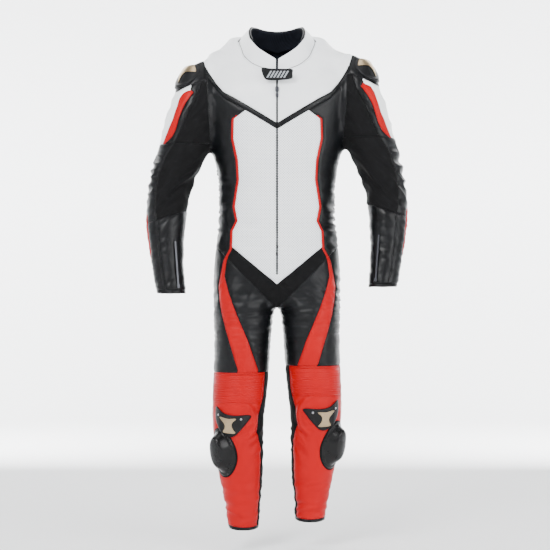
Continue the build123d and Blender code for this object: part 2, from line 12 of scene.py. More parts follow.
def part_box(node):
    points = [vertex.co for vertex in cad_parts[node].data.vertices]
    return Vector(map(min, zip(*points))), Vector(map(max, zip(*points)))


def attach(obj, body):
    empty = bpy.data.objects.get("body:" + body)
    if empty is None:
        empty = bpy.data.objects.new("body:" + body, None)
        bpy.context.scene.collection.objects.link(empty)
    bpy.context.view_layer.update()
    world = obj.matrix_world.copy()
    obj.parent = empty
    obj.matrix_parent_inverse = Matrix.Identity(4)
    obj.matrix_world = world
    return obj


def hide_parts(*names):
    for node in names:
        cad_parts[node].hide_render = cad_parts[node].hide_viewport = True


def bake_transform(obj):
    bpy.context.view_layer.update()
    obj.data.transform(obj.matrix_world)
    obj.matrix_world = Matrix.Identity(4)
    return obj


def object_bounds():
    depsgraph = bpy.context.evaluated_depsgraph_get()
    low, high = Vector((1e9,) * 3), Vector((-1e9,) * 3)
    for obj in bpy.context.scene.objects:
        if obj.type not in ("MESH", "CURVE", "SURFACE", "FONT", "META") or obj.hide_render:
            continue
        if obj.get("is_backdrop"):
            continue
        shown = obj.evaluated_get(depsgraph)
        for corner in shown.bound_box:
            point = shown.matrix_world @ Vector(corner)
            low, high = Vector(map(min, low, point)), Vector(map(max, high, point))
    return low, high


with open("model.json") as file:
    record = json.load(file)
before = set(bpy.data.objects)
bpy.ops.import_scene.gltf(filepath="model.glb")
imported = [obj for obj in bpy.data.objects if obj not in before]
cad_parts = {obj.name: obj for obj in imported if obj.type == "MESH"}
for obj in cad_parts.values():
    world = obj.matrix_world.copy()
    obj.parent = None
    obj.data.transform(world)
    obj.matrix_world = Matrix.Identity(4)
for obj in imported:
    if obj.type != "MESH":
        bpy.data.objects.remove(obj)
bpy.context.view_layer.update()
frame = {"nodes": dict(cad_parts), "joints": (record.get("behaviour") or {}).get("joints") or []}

# One-piece leather riding suit. Metres; +X is the wearer's left, -Y the front, +Z up.
SIDES = {"left": 1.0, "right": -1.0}
MM = 0.001
SKIN_VOXEL = 8.5 * MM        # spacing of the sewn skin before its one subdivision
LEATHER = 2.2 * MM
SEAM_DEPTH = 1.6 * MM
SEAM_REACH = 4.5 * MM        # how far from a seam the leather starts to dip


# ---- materials -----------------------------------------------------------------------------------
def linear(hex_colour):
    """sRGB hex to the linear colour that a shader socket takes."""
    channels = [int(hex_colour[i:i + 2], 16) / 255 for i in (1, 3, 5)]
    return tuple(c / 12.92 if c <= 0.04045 else ((c + 0.055) / 1.055) ** 2.4 for c in channels) + (1.0,)


def add(material, kind, settings=None, links=None):
    """Adds one node: settings are sockets or properties, links are sockets fed by other nodes' outputs."""
    node = material.node_tree.nodes.new(kind)
    for name, value in (settings or {}).items():
        if isinstance(name, int) or name in node.inputs:
            node.inputs[name].default_value = value
        else:
            setattr(node, name, value)
    for name, source in (links or {}).items():
        material.node_tree.links.new(source, node.inputs[name])
    return node


def new_material(name):
    """Empty node material with its output node, and the object's own coordinates."""
    material = bpy.data.materials.new(name)
    material.use_nodes = True
    material.node_tree.nodes.clear()
    place = add(material, "ShaderNodeTexCoord").outputs["Object"]
    return material, place


def finish_material(material, shader):
    add(material, "ShaderNodeOutputMaterial", links={"Surface": shader.outputs[0]})
    return material


def cowhide(name, colour, deep, roughness, creases=0.25, holes=0.0, coat=0.12, shine=0.4):
    """Pigmented cowhide, drummed and rolled, then sealed with a thin top coat.

    The eye sees a pebbled grain about 1.6 mm across, soft creases and an uneven, dull gloss.
    Where `holes` is set the hide is punched all over with air holes, drawn 5 mm apart so that they show: each
    hole is a grey dot of painted shade over the dark lining, with a dip in the bump.
    """
    material, place = new_material(name)
    grain = add(material, "ShaderNodeTexVoronoi", {"Scale": 1 / (1.6 * MM), "feature": "SMOOTH_F1",
                                                   "Smoothness": 0.6}, {"Vector": place})
    cloud = add(material, "ShaderNodeTexNoise", {"Scale": 14.0, "Detail": 4.0, "Roughness": 0.6},
                {"Vector": place})
    crease = add(material, "ShaderNodeTexNoise", {"Scale": 55.0, "Detail": 5.0, "Roughness": 0.65,
                                                  "Distortion": 0.6}, {"Vector": place})
    tint = add(material, "ShaderNodeMix", {"data_type": "RGBA", 6: linear(colour), 7: linear(deep)})
    spread = add(material, "ShaderNodeMapRange", {"From Min": 0.42, "From Max": 0.8, "To Min": 0.0,
                                                  "To Max": 0.55}, {"Value": cloud.outputs["Fac"]})
    material.node_tree.links.new(spread.outputs[0], tint.inputs[0])
    colour_out = tint.outputs[2]
    wear = add(material, "ShaderNodeMapRange", {"From Min": 0.35, "From Max": 0.7,
                                                "To Min": roughness - 0.06, "To Max": roughness + 0.09},
               {"Value": cloud.outputs["Fac"]})
    height = add(material, "ShaderNodeMath", {"operation": "MULTIPLY_ADD", 1: creases},
                 {0: crease.outputs["Fac"], 2: grain.outputs["Distance"]})
    relief = height.outputs[0]
    if holes:
        turned = add(material, "ShaderNodeMapping", {"Rotation": (0.0, math.radians(45), 0.0),
                                                     "Scale": (1.0, 0.0, 1.0)}, {"Vector": place})
        grid = add(material, "ShaderNodeTexVoronoi", {"Scale": 1 / (5.0 * MM), "Randomness": 0.0},
                   {"Vector": turned.outputs[0]})
        dot = add(material, "ShaderNodeMapRange", {"From Min": 0.16, "From Max": 0.26, "To Min": 1.0,
                                                   "To Max": 0.0}, {"Value": grid.outputs["Distance"]})
        shade = add(material, "ShaderNodeMath", {"operation": "MULTIPLY", 1: holes}, {0: dot.outputs[0]})
        # Painted shade: the holes are grey dots in the colour, standing for the shade inside them over the
        # dark lining behind.
        hole_shade_mix = add(material, "ShaderNodeMix", {"data_type": "RGBA", 7: linear("#55585c")},
                   {0: shade.outputs[0], 6: colour_out})
        colour_out = hole_shade_mix.outputs[2]
        sunk = add(material, "ShaderNodeMath", {"operation": "SUBTRACT"}, {0: relief, 1: dot.outputs[0]})
        relief = sunk.outputs[0]
    bump = add(material, "ShaderNodeBump", {"Strength": 0.32, "Distance": 0.5 * MM}, {"Height": relief})
    shader = add(material, "ShaderNodeBsdfPrincipled",
                 {"IOR": 1.5, "Coat Weight": coat, "Coat Roughness": 0.25, "Specular IOR Level": shine},
                 {"Base Color": colour_out, "Roughness": wear.outputs[0], "Normal": bump.outputs[0]})
    return finish_material(material, shader)


def woven(name, colour, light, thread, roughness=0.85):
    """Knitted or woven cloth of two crossing sets of threads: matt, with a faint sheen at glancing angles. A
    painted highlight makes the raised thread crossings lighter, in patches.
    """
    material, place = new_material(name)
    scale = 1 / (thread * math.tau)
    warp = add(material, "ShaderNodeTexWave", {"Scale": scale, "bands_direction": "DIAGONAL",
                                               "Distortion": 0.4, "Detail": 1.0}, {"Vector": place})
    weft = add(material, "ShaderNodeTexWave", {"Scale": scale, "bands_direction": "Z", "Distortion": 0.4,
                                               "Detail": 1.0}, {"Vector": place})
    cloud = add(material, "ShaderNodeTexNoise", {"Scale": 30.0, "Detail": 3.0}, {"Vector": place})
    weave = add(material, "ShaderNodeMath", {"operation": "MULTIPLY"},
                {0: warp.outputs["Fac"], 1: weft.outputs["Fac"]})
    # Painted highlight: the colour turns towards `light` where the threads cross highest, in patches from the
    # cloud noise.
    crest_highlight_mask = add(material, "ShaderNodeMath", {"operation": "MULTIPLY"},
                {0: weave.outputs[0], 1: cloud.outputs["Fac"]})
    tint = add(material, "ShaderNodeMix", {"data_type": "RGBA", 6: linear(colour), 7: linear(light)},
               {0: crest_highlight_mask.outputs[0]})
    bump = add(material, "ShaderNodeBump", {"Strength": 0.4, "Distance": 0.4 * MM},
               {"Height": weave.outputs[0]})
    shader = add(material, "ShaderNodeBsdfPrincipled",
                 {"Roughness": roughness, "IOR": 1.5, "Specular IOR Level": 0.15, "Sheen Weight": 0.02,
                  "Sheen Roughness": 0.5},
                 {"Base Color": tint.outputs[2], "Normal": bump.outputs[0]})
    return finish_material(material, shader)


def moulded(name, colour, light, roughness, texture, coat=0.0, shine=0.2):
    """Injection-moulded polyurethane, nylon or rubber: even colour, fine mould texture, slightly scuffed."""
    material, place = new_material(name)
    pits = add(material, "ShaderNodeTexNoise", {"Scale": 1 / (1.2 * MM), "Detail": 2.0}, {"Vector": place})
    scuff = add(material, "ShaderNodeTexNoise", {"Scale": 40.0, "Detail": 6.0, "Roughness": 0.7},
                {"Vector": place})
    tint = add(material, "ShaderNodeMix", {"data_type": "RGBA", 6: linear(colour), 7: linear(light)})
    fade = add(material, "ShaderNodeMapRange", {"From Min": 0.45, "From Max": 0.85, "To Min": 0.0,
                                                "To Max": 0.6}, {"Value": scuff.outputs["Fac"]})
    material.node_tree.links.new(fade.outputs[0], tint.inputs[0])
    rough = add(material, "ShaderNodeMapRange", {"From Min": 0.3, "From Max": 0.75,
                                                 "To Min": roughness - 0.05, "To Max": roughness + 0.12},
                {"Value": scuff.outputs["Fac"]})
    bump = add(material, "ShaderNodeBump", {"Strength": texture, "Distance": 0.3 * MM},
               {"Height": pits.outputs["Fac"]})
    shader = add(material, "ShaderNodeBsdfPrincipled", {"IOR": 1.5, "Specular IOR Level": shine,
                                                        "Coat Weight": coat, "Coat Roughness": 0.08},
                 {"Base Color": tint.outputs[2], "Roughness": rough.outputs[0], "Normal": bump.outputs[0]})
    return finish_material(material, shader)


def brushed(name, colour, shadow, roughness):
    """Sheet metal brushed along its length, then clear-coated: fine streaks a third of a millimetre apart."""
    material, place = new_material(name)
    stretched = add(material, "ShaderNodeMapping", {"Scale": (1.0, 1.0, 14.0)}, {"Vector": place})
    streak = add(material, "ShaderNodeTexNoise", {"Scale": 160.0, "Detail": 4.0},
                 {"Vector": stretched.outputs[0]})
    tint = add(material, "ShaderNodeMix", {"data_type": "RGBA", 6: linear(shadow), 7: linear(colour)},
               {0: streak.outputs["Fac"]})
    rough = add(material, "ShaderNodeMapRange", {"From Min": 0.3, "From Max": 0.7,
                                                 "To Min": roughness - 0.08, "To Max": roughness + 0.1},
                {"Value": streak.outputs["Fac"]})
    bump = add(material, "ShaderNodeBump", {"Strength": 0.12, "Distance": 0.1 * MM},
               {"Height": streak.outputs["Fac"]})
    shader = add(material, "ShaderNodeBsdfPrincipled", {"Metallic": 1.0},
                 {"Base Color": tint.outputs[2], "Roughness": rough.outputs[0], "Normal": bump.outputs[0]})
    return finish_material(material, shader)


WHITE_HIDE = cowhide("white pigmented cowhide", "#f4f6f8", "#e2e6eb", 0.42, creases=0.15)
PUNCHED_HIDE = cowhide("white punched cowhide", "#f1f4f7", "#dfe4ea", 0.45, creases=0.15, holes=0.8)
BLACK_HIDE = cowhide("black nappa cowhide", "#08090b", "#101216", 0.36, creases=0.5, coat=0.04, shine=0.17)
RED_HIDE = cowhide("red pigmented cowhide", "#a80109", "#920107", 0.42, creases=0.35, coat=0.0, shine=0.12)
STRETCH = woven("black aramid stretch knit", "#060607", "#121316", 1.1 * MM)
LINING = woven("navy polyester mesh lining", "#0d1018", "#1c212c", 1.8 * MM)
HOOK_LOOP = woven("black hook-and-loop tape", "#070708", "#18191b", 1.4 * MM, 0.95)
CUP_SHELL = moulded("black moulded polyurethane", "#0a0b0d", "#141518", 0.40, 0.5)
PUCK = moulded("black polished nylon", "#030304", "#070709", 0.22, 0.08, coat=0.08)
BRONZE = brushed("bronze anodised titanium", "#b9a78b", "#85704f", 0.32)
WHITE_THREAD = woven("white bonded nylon thread", "#dfe2e6", "#eceef0", 0.4 * MM, 0.6)
BLACK_THREAD = woven("black bonded nylon thread", "#0e0f11", "#1d1f23", 0.4 * MM, 0.6)
RED_THREAD = woven("red bonded nylon thread", "#8c0a06", "#a00e08", 0.4 * MM, 0.6)
ZIP_METAL = brushed("blackened zip brass", "#5b5c60", "#33343a", 0.38)
ZIP_TEETH = moulded("black coated zip teeth", "#0a0b0d", "#15161a", 0.42, 0.05)
SCREW = brushed("zinc plated steel screw", "#c9ccd1", "#8d9096", 0.3)
RIB_PRINT = moulded("grey printed rubber", "#8e9297", "#a5a9ae", 0.55, 0.2)
FOAM = moulded("black perforated armour foam", "#16171a", "#202125", 0.8, 0.4)


# ---- mesh helpers ----------------------------------------------------------------------------------
def new_object(name, vertices, faces, material, smooth=True):
    mesh = bpy.data.meshes.new(name)
    mesh.from_pydata([tuple(v) for v in vertices], [], [tuple(f) for f in faces])
    mesh.materials.append(material)
    if smooth:
        mesh.shade_smooth()
    item = bpy.data.objects.new(name, mesh)
    bpy.context.scene.collection.objects.link(item)
    return item


def apply_modifiers(item):
    evaluated = item.evaluated_get(bpy.context.evaluated_depsgraph_get())
    mesh = bpy.data.meshes.new_from_object(evaluated)
    item.modifiers.clear()
    item.data = mesh
    return item


def modify(item, kind, **settings):
    modifier = item.modifiers.new(kind.title(), kind)
    for name, value in settings.items():
        setattr(modifier, name, value)
    return item


def coordinates(mesh):
    points = np.empty(len(mesh.vertices) * 3)
    mesh.vertices.foreach_get("co", points)
    return points.reshape(-1, 3)


def node_mesh(name):
    """Vertices and triangles of a CAD node, read only."""
    mesh = frame["nodes"][name].data
    mesh.calc_loop_triangles()
    triangles = np.empty(len(mesh.loop_triangles) * 3, dtype=int)
    mesh.loop_triangles.foreach_get("vertices", triangles)
    return coordinates(mesh), triangles.reshape(-1, 3)


def smoothstep(edge_from, edge_to, value):
    t = np.clip((value - edge_from) / (edge_to - edge_from), 0.0, 1.0)
    return t * t * (3 - 2 * t)


def bump_at(value, centre, width):
    return np.exp(-((value - centre) / width) ** 2)


# ---- the suit's sections, read from the CAD shells -------------------------------------------------
def level_cut(nodes, z):
    """Points where the nodes' shells cross the height z."""
    points = []
    for name in nodes:
        vertices, triangles = node_mesh(name)
        heights = vertices[triangles][:, :, 2] - z
        for a, b in ((0, 1), (1, 2), (2, 0)):
            crossing = heights[:, a] * heights[:, b] < 0
            start, end = vertices[triangles[crossing, a]], vertices[triangles[crossing, b]]
            t = (heights[crossing, a] / (heights[crossing, a] - heights[crossing, b]))[:, None]
            points.append((start + (end - start) * t)[:, :2])
    return np.concatenate(points)


def fitted_ring(nodes, z):
    """Middle and half sizes of the level ellipse that runs through the shells at height z."""
    points = level_cut(nodes, z)
    middle = (points.min(axis=0) + points.max(axis=0)) / 2
    x, y = (points - middle).T
    a, b, c, d = np.linalg.lstsq(np.stack([x * x, x, y * y, y], axis=1), np.ones(len(x)), rcond=None)[0]
    x0, y0 = -b / (2 * a), -d / (2 * c)
    level = 1 + a * x0 * x0 + c * y0 * y0
    half_shell = 1.5 * MM
    half_x, half_y = math.sqrt(level / a) + half_shell, math.sqrt(level / c) + half_shell
    return z, middle[0] + x0, middle[1] + y0, half_x, half_y


def fitted_rings(nodes, z_top, z_bottom, count, overrun_top=0.0, overrun_bottom=0.0):
    """Evenly spaced rings down a limb, smoothed along it, with a straight overrun past each end."""
    rings = np.array([fitted_ring(nodes, z) for z in np.linspace(z_top, z_bottom, count)])
    for _ in range(2):
        rings[1:-1] = (rings[:-2] + 2 * rings[1:-1] + rings[2:]) / 4
    first, last = rings[0].copy(), rings[-1].copy()
    slope_top, slope_bottom = rings[0] - rings[1], rings[-1] - rings[-2]
    extra = []
    if overrun_top:
        first += slope_top * (overrun_top / abs(slope_top[0]))
        first[3:] = rings[0][3:] * 0.8
        extra.append(first)
    rows = [*extra, *rings]
    if overrun_bottom:
        last += slope_bottom * (overrun_bottom / abs(slope_bottom[0]))
        rows.append(last)
    return np.array(rows)


def tube_mesh(rings, segments=56):
    """Closed tube through level ellipses: vertices and faces."""
    turns = np.linspace(0, math.tau, segments, endpoint=False)
    vertices, faces = [], []
    for z, x, y, a, b in rings:
        vertices += [(x + a * math.sin(t), y - b * math.cos(t), z) for t in turns]
    count = len(rings)
    for row in range(count - 1):
        for k in range(segments):
            n = (k + 1) % segments
            faces.append((row * segments + k, row * segments + n, (row + 1) * segments + n,
                          (row + 1) * segments + k))
    faces.append(tuple(range(segments)))
    faces.append(tuple(reversed(range((count - 1) * segments, count * segments))))
    return vertices, faces


TORSO_NODES = ["front_yoke", "chest_v_trim", "front_panel_left", "front_panel_right", "side_panel_left",
               "side_panel_right",
               "crotch_stretch_panel", "upper_back_panel", "lumbar_stretch_panel", "seat_panel"]


def sleeve_nodes(side):
    parts = ("upper_sleeve_leather", "upper_sleeve_stretch", "elbow_stretch", "forearm_leather",
             "forearm_front", "cuff_binding")
    return [f"{part}_{side}" for part in parts]


def leg_nodes(side):
    parts = ("thigh_front", "thigh_back", "knee_accordion", "knee_back_stretch", "shin_front", "calf_panel",
             "hem_binding")
    return [f"{part}_{side}" for part in parts]


def joint(name):
    return next(j for j in frame["joints"] if j["name"] == name)


def low(node):
    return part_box(node)[0]


def high(node):
    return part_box(node)[1]


def box_middle(node):
    return (Vector(low(node)) + Vector(high(node))) / 2


torso_rings = fitted_rings(TORSO_NODES, 0.004, -0.700, 34, overrun_top=0.045, overrun_bottom=0.022)
arm_rings, leg_rings = {}, {}
for side in SIDES:
    top = high(f"upper_sleeve_leather_{side}")[2]
    cuff = low(f"cuff_binding_{side}")[2]
    arm_rings[side] = fitted_rings(sleeve_nodes(side), top - 0.012, cuff + 0.004, 34, overrun_top=0.009,
                                   overrun_bottom=0.03)
    top = high(f"thigh_back_{side}")[2]
    hem = low(f"hem_binding_{side}")[2]
    leg_rings[side] = fitted_rings(leg_nodes(side), top - 0.05, hem + 0.004, 40, overrun_top=0.03,
                                   overrun_bottom=0.03)


def ring_at(rings, z):
    """Ring values at each height of an array, as columns x, y, a, b."""
    order = np.argsort(rings[:, 0])
    return [np.interp(z, rings[order, 0], rings[order, k]) for k in range(1, 5)]


# ---- the sewn skin: torso, sleeves and legs grown together ------------------------------------------
def sewn_skin():
    vertices, faces = [], []
    for rings in [torso_rings, *arm_rings.values(), *leg_rings.values()]:
        points, polygons = tube_mesh(rings)
        start = len(vertices)
        vertices += points
        faces += [tuple(i + start for i in polygon) for polygon in polygons]
    skin = new_object("suit_skin", vertices, faces, BLACK_HIDE)
    bm = bmesh.new()
    bm.from_mesh(skin.data)
    bmesh.ops.recalc_face_normals(bm, faces=bm.faces)
    bm.to_mesh(skin.data)
    bm.free()
    modify(skin, "REMESH", mode="VOXEL", voxel_size=SKIN_VOXEL)
    apply_modifiers(skin)
    modify(skin, "SMOOTH", factor=0.5, iterations=5)
    return apply_modifiers(skin)


def limb_root(hinge_name):
    """A point on the seam plane where a limb is sewn to the torso, and the plane's way out of the torso."""
    hinge = joint(hinge_name)
    origin, normal = np.array(hinge["pos_m"]), np.array(hinge["axis"])
    return origin, normal * np.sign(normal[0] * origin[0])


def armhole(side):
    return limb_root(f"shoulder_flex_{side}")


def groin(side):
    return limb_root(f"hip_flex_{side}")


def beyond_armhole(points, side):
    origin, normal = armhole(side)
    return (points - origin) @ normal


def beyond_groin(points, side):
    origin, normal = groin(side)
    return (points - origin) @ normal


def in_arm(points, side):
    """Sleeve points: outside the armhole plane, and below it nearer to the sleeve than to the flank."""
    armpit_z, least_gap_x, reach_below_cuff = -0.262, 0.186, 0.05
    outwards, z = SIDES[side] * points[:, 0], points[:, 2]
    x, _, a, _ = ring_at(arm_rings[side], z)
    flank = ring_at(torso_rings, z)[2]
    between = np.maximum((SIDES[side] * x - a + flank) / 2, least_gap_x)
    middle = np.where(z < armpit_z, between, -1.0)
    return (beyond_armhole(points,
                           side) > 0) & (outwards > middle) & (z > cuff_level(side) - reach_below_cuff)


def in_leg(points, side):
    own_side = SIDES[side] * points[:, 0] > 0
    return (beyond_groin(points, side) > 0) & own_side & ~in_arm(points, side)


def cuff_level(side):
    return low(f"cuff_binding_{side}")[2]


def hem_level(side):
    return low(f"hem_binding_{side}")[2]


def limb_angle(points, rings, side):
    """Degrees round a limb from its front, positive towards the outer side."""
    x, y, a, b = ring_at(rings, points[:, 2])
    return np.degrees(np.arctan2(SIDES[side] * (points[:, 0] - x) / a, -(points[:, 1] - y) / b))


# ---- seams ---------------------------------------------------------------------------------------
def seam_cut(bm, field, inside=None):
    """Cuts the skin where a field of its points is zero, and moves points that nearly lie on the cut."""
    bm.verts.index_update()
    bm.verts.ensure_lookup_table()
    points = np.array([v.co[:] for v in bm.verts])
    values = field(points)
    allowed = np.ones(len(points), dtype=bool) if inside is None else inside(points)
    crossing = []
    for edge in bm.edges:
        i, j = edge.verts[0].index, edge.verts[1].index
        if allowed[i] and allowed[j] and values[i] * values[j] < 0:
            crossing.append((edge, i, j))
    nearest = {}
    for edge, i, j in crossing:
        t = values[i] / (values[i] - values[j])
        target = points[i] + (points[j] - points[i]) * t
        for vertex, share in ((i, t), (j, 1 - t)):
            if share < 0.2 and share < nearest.get(vertex, (1.0, None))[0]:
                nearest[vertex] = (share, target)
    for vertex, (share, target) in nearest.items():
        bm.verts[vertex].co = target
        values[vertex] = 0.0
    table = list(bm.verts)
    on_line = {table[vertex] for vertex in nearest}
    touched = set()
    for vertex in on_line:
        touched.update(vertex.link_faces)
    for edge, i, j in crossing:
        if values[i] * values[j] < 0:
            t = values[i] / (values[i] - values[j])
            touched.update(edge.link_faces)
            _, vertex = bmesh.utils.edge_split(edge, table[i], t)
            on_line.add(vertex)
            touched.update(vertex.link_faces)
    for face in touched:
        if not face.is_valid:
            continue
        marked = [v for v in face.verts if v in on_line]
        if len(marked) < 2:
            continue
        first, second = marked[0], marked[-1] if len(marked) == 2 else marked[len(marked) // 2]
        if any(first in edge.verts and second in edge.verts for edge in face.edges):
            continue
        bmesh.utils.face_split(face, first, second)


def line_at(pattern, z):
    """Value of a seam drawn as (height, value) pairs, heights falling, at each height of an array."""
    heights = np.array([p[0] for p in pattern])
    values = np.array([p[1] for p in pattern])
    order = np.argsort(heights)
    return np.interp(z, heights[order], values[order])


# Pattern pieces of the front: (height, half width from the centre line) in metres, from the top down.
YOKE_EDGE = [(-0.210, 0.0), (-0.140, 0.115), (-0.120, 0.150), (-0.096, 0.170), (-0.045, 0.200),
             (0.0, 0.215), (0.1, 0.230)]
TRIM_DROP = 0.017
PANEL_SIDE = [(-0.172, 0.087), (-0.196, 0.120), (-0.250, 0.122), (-0.310, 0.109), (-0.365, 0.106),
              (-0.440, 0.118), (-0.480, 0.110),
              (-0.507, 0.124), (-0.556, 0.126), (-0.580, 0.139)]
PIPING_WIDTH = 0.0068
STRIPE_INNER = [(-0.556, 0.127), (-0.590, 0.142), (-0.633, 0.148), (-0.678, 0.136), (-0.722, 0.120),
                (-0.767, 0.101), (-0.812, 0.081),
                (-0.857, 0.065), (-0.893, 0.052)]
STRIPE_OUTER = [(-0.556, 0.135), (-0.590, 0.151), (-0.633, 0.160), (-0.660, 0.165), (-0.700, 0.162),
                (-0.740, 0.155), (-0.785, 0.143),
                (-0.830, 0.129), (-0.870, 0.117), (-0.893, 0.109)]
PANEL_FOOT = [(-0.656, 0.0), (-0.552, 0.126)]

# Pattern pieces of the sleeves' front: (height, distance from the centre line) in metres.
ELBOW_EDGE = [(-0.240, 0.280), (-0.257, 0.290), (-0.290, 0.313), (-0.320, 0.323), (-0.355, 0.335),
              (-0.383, 0.340), (-0.440, 0.340),
              (-0.470, 0.334), (-0.520, 0.331), (-0.600, 0.322), (-0.690, 0.305)]
STRETCH_EDGE = [(-0.060, 0.205), (-0.098, 0.215), (-0.120, 0.222), (-0.159, 0.246), (-0.195, 0.259),
                (-0.223, 0.272), (-0.254, 0.288)]
RED_INNER = [(-0.104, 0.240), (-0.112, 0.234), (-0.139, 0.254), (-0.159, 0.265), (-0.187, 0.275),
             (-0.215, 0.283), (-0.235, 0.294),
             (-0.254, 0.316)]
RED_OUTER = [(-0.104, 0.242), (-0.107, 0.252), (-0.112, 0.263), (-0.128, 0.274), (-0.165, 0.286),
             (-0.185, 0.292), (-0.207, 0.302),
             (-0.254, 0.322)]
SLEEVE_BREAK = -0.254        # height of the seam between the sleeve's top panels and the elbow
FOREARM_EDGE_Z = -0.452
FOREARM_EDGE_SLOPE = 0.30
ELBOW_RING = 16              # the sleeve's ring that the forearm edge slopes from
FOREARM_RED_BACK = 104       # degrees
SHIN_BACK = 128              # degrees
THIGH_FRONT_REACH = 100      # degrees
KNEE_SEAM_Z = -0.893         # seam between thigh and knee
HEM_SLOPE = 0.10             # the hem rises towards the back by this share
EDGE_WIDTH = 9 * MM          # turned edge at cuffs and hems
BACK_YOKE_Z = -0.115

# Pattern pieces round the forearms and shins: (height, degrees from the limb's front towards its outer side).
SHIN_INNER = [(-0.890, -60.0), (-0.960, -64.0), (-1.000, -56.0), (-1.060, -50.0), (-1.110, -66.0),
              (-1.340, -64.0)]
FOREARM_RED = [(-0.440, 98.0), (-0.455, 66.0), (-0.560, 68.0), (-0.620, 98.0)]


def centre_line(points):
    return np.abs(points[:, 0])


def white_top(points):
    """Height of the sleeve's first seam below the shoulder cup: it slopes down outwards."""
    return np.interp(centre_line(points), [0.200, 0.222, 0.275, 0.310], [-0.078, -0.082, -0.104, -0.112])


def front_of(points, rings):
    _, y, _, _ = ring_at(rings, points[:, 2])
    return points[:, 1] < y


def neck_inside(points):
    """Positive inside the collar's cone and above the neck seam, where the skin is cut away."""
    lowest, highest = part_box("collar_shell")
    rim_z = highest[2]
    seam_z = rim_z - 0.044
    foot = (highest[0] - lowest[0]) / 2
    width = np.interp(points[:, 2], [seam_z - 0.115, seam_z, rim_z], [foot + 0.006, foot, 0.066])
    depth = width * 0.92
    cone = 1 - np.hypot(points[:, 0] / width, (points[:, 1] - 0.006) / depth)
    seam = points[:, 2] - np.minimum(seam_z, seam_z + (points[:, 1] - 0.006) * 1.06)
    return np.minimum(cone * 0.1, seam)


def lift(side):
    """How much higher than the mean this side of the suit hangs."""
    return (cuff_level(side) - cuff_level("right" if side == "left" else "left")) / 2


KNEE_RIBS = (-0.900, -0.976)     # heights of the pleated band's top and foot
ZIP_SLOT = 2.4 * MM          # half width of the front opening
ZIP_END = low("main_zip_chain")[2] + 0.004


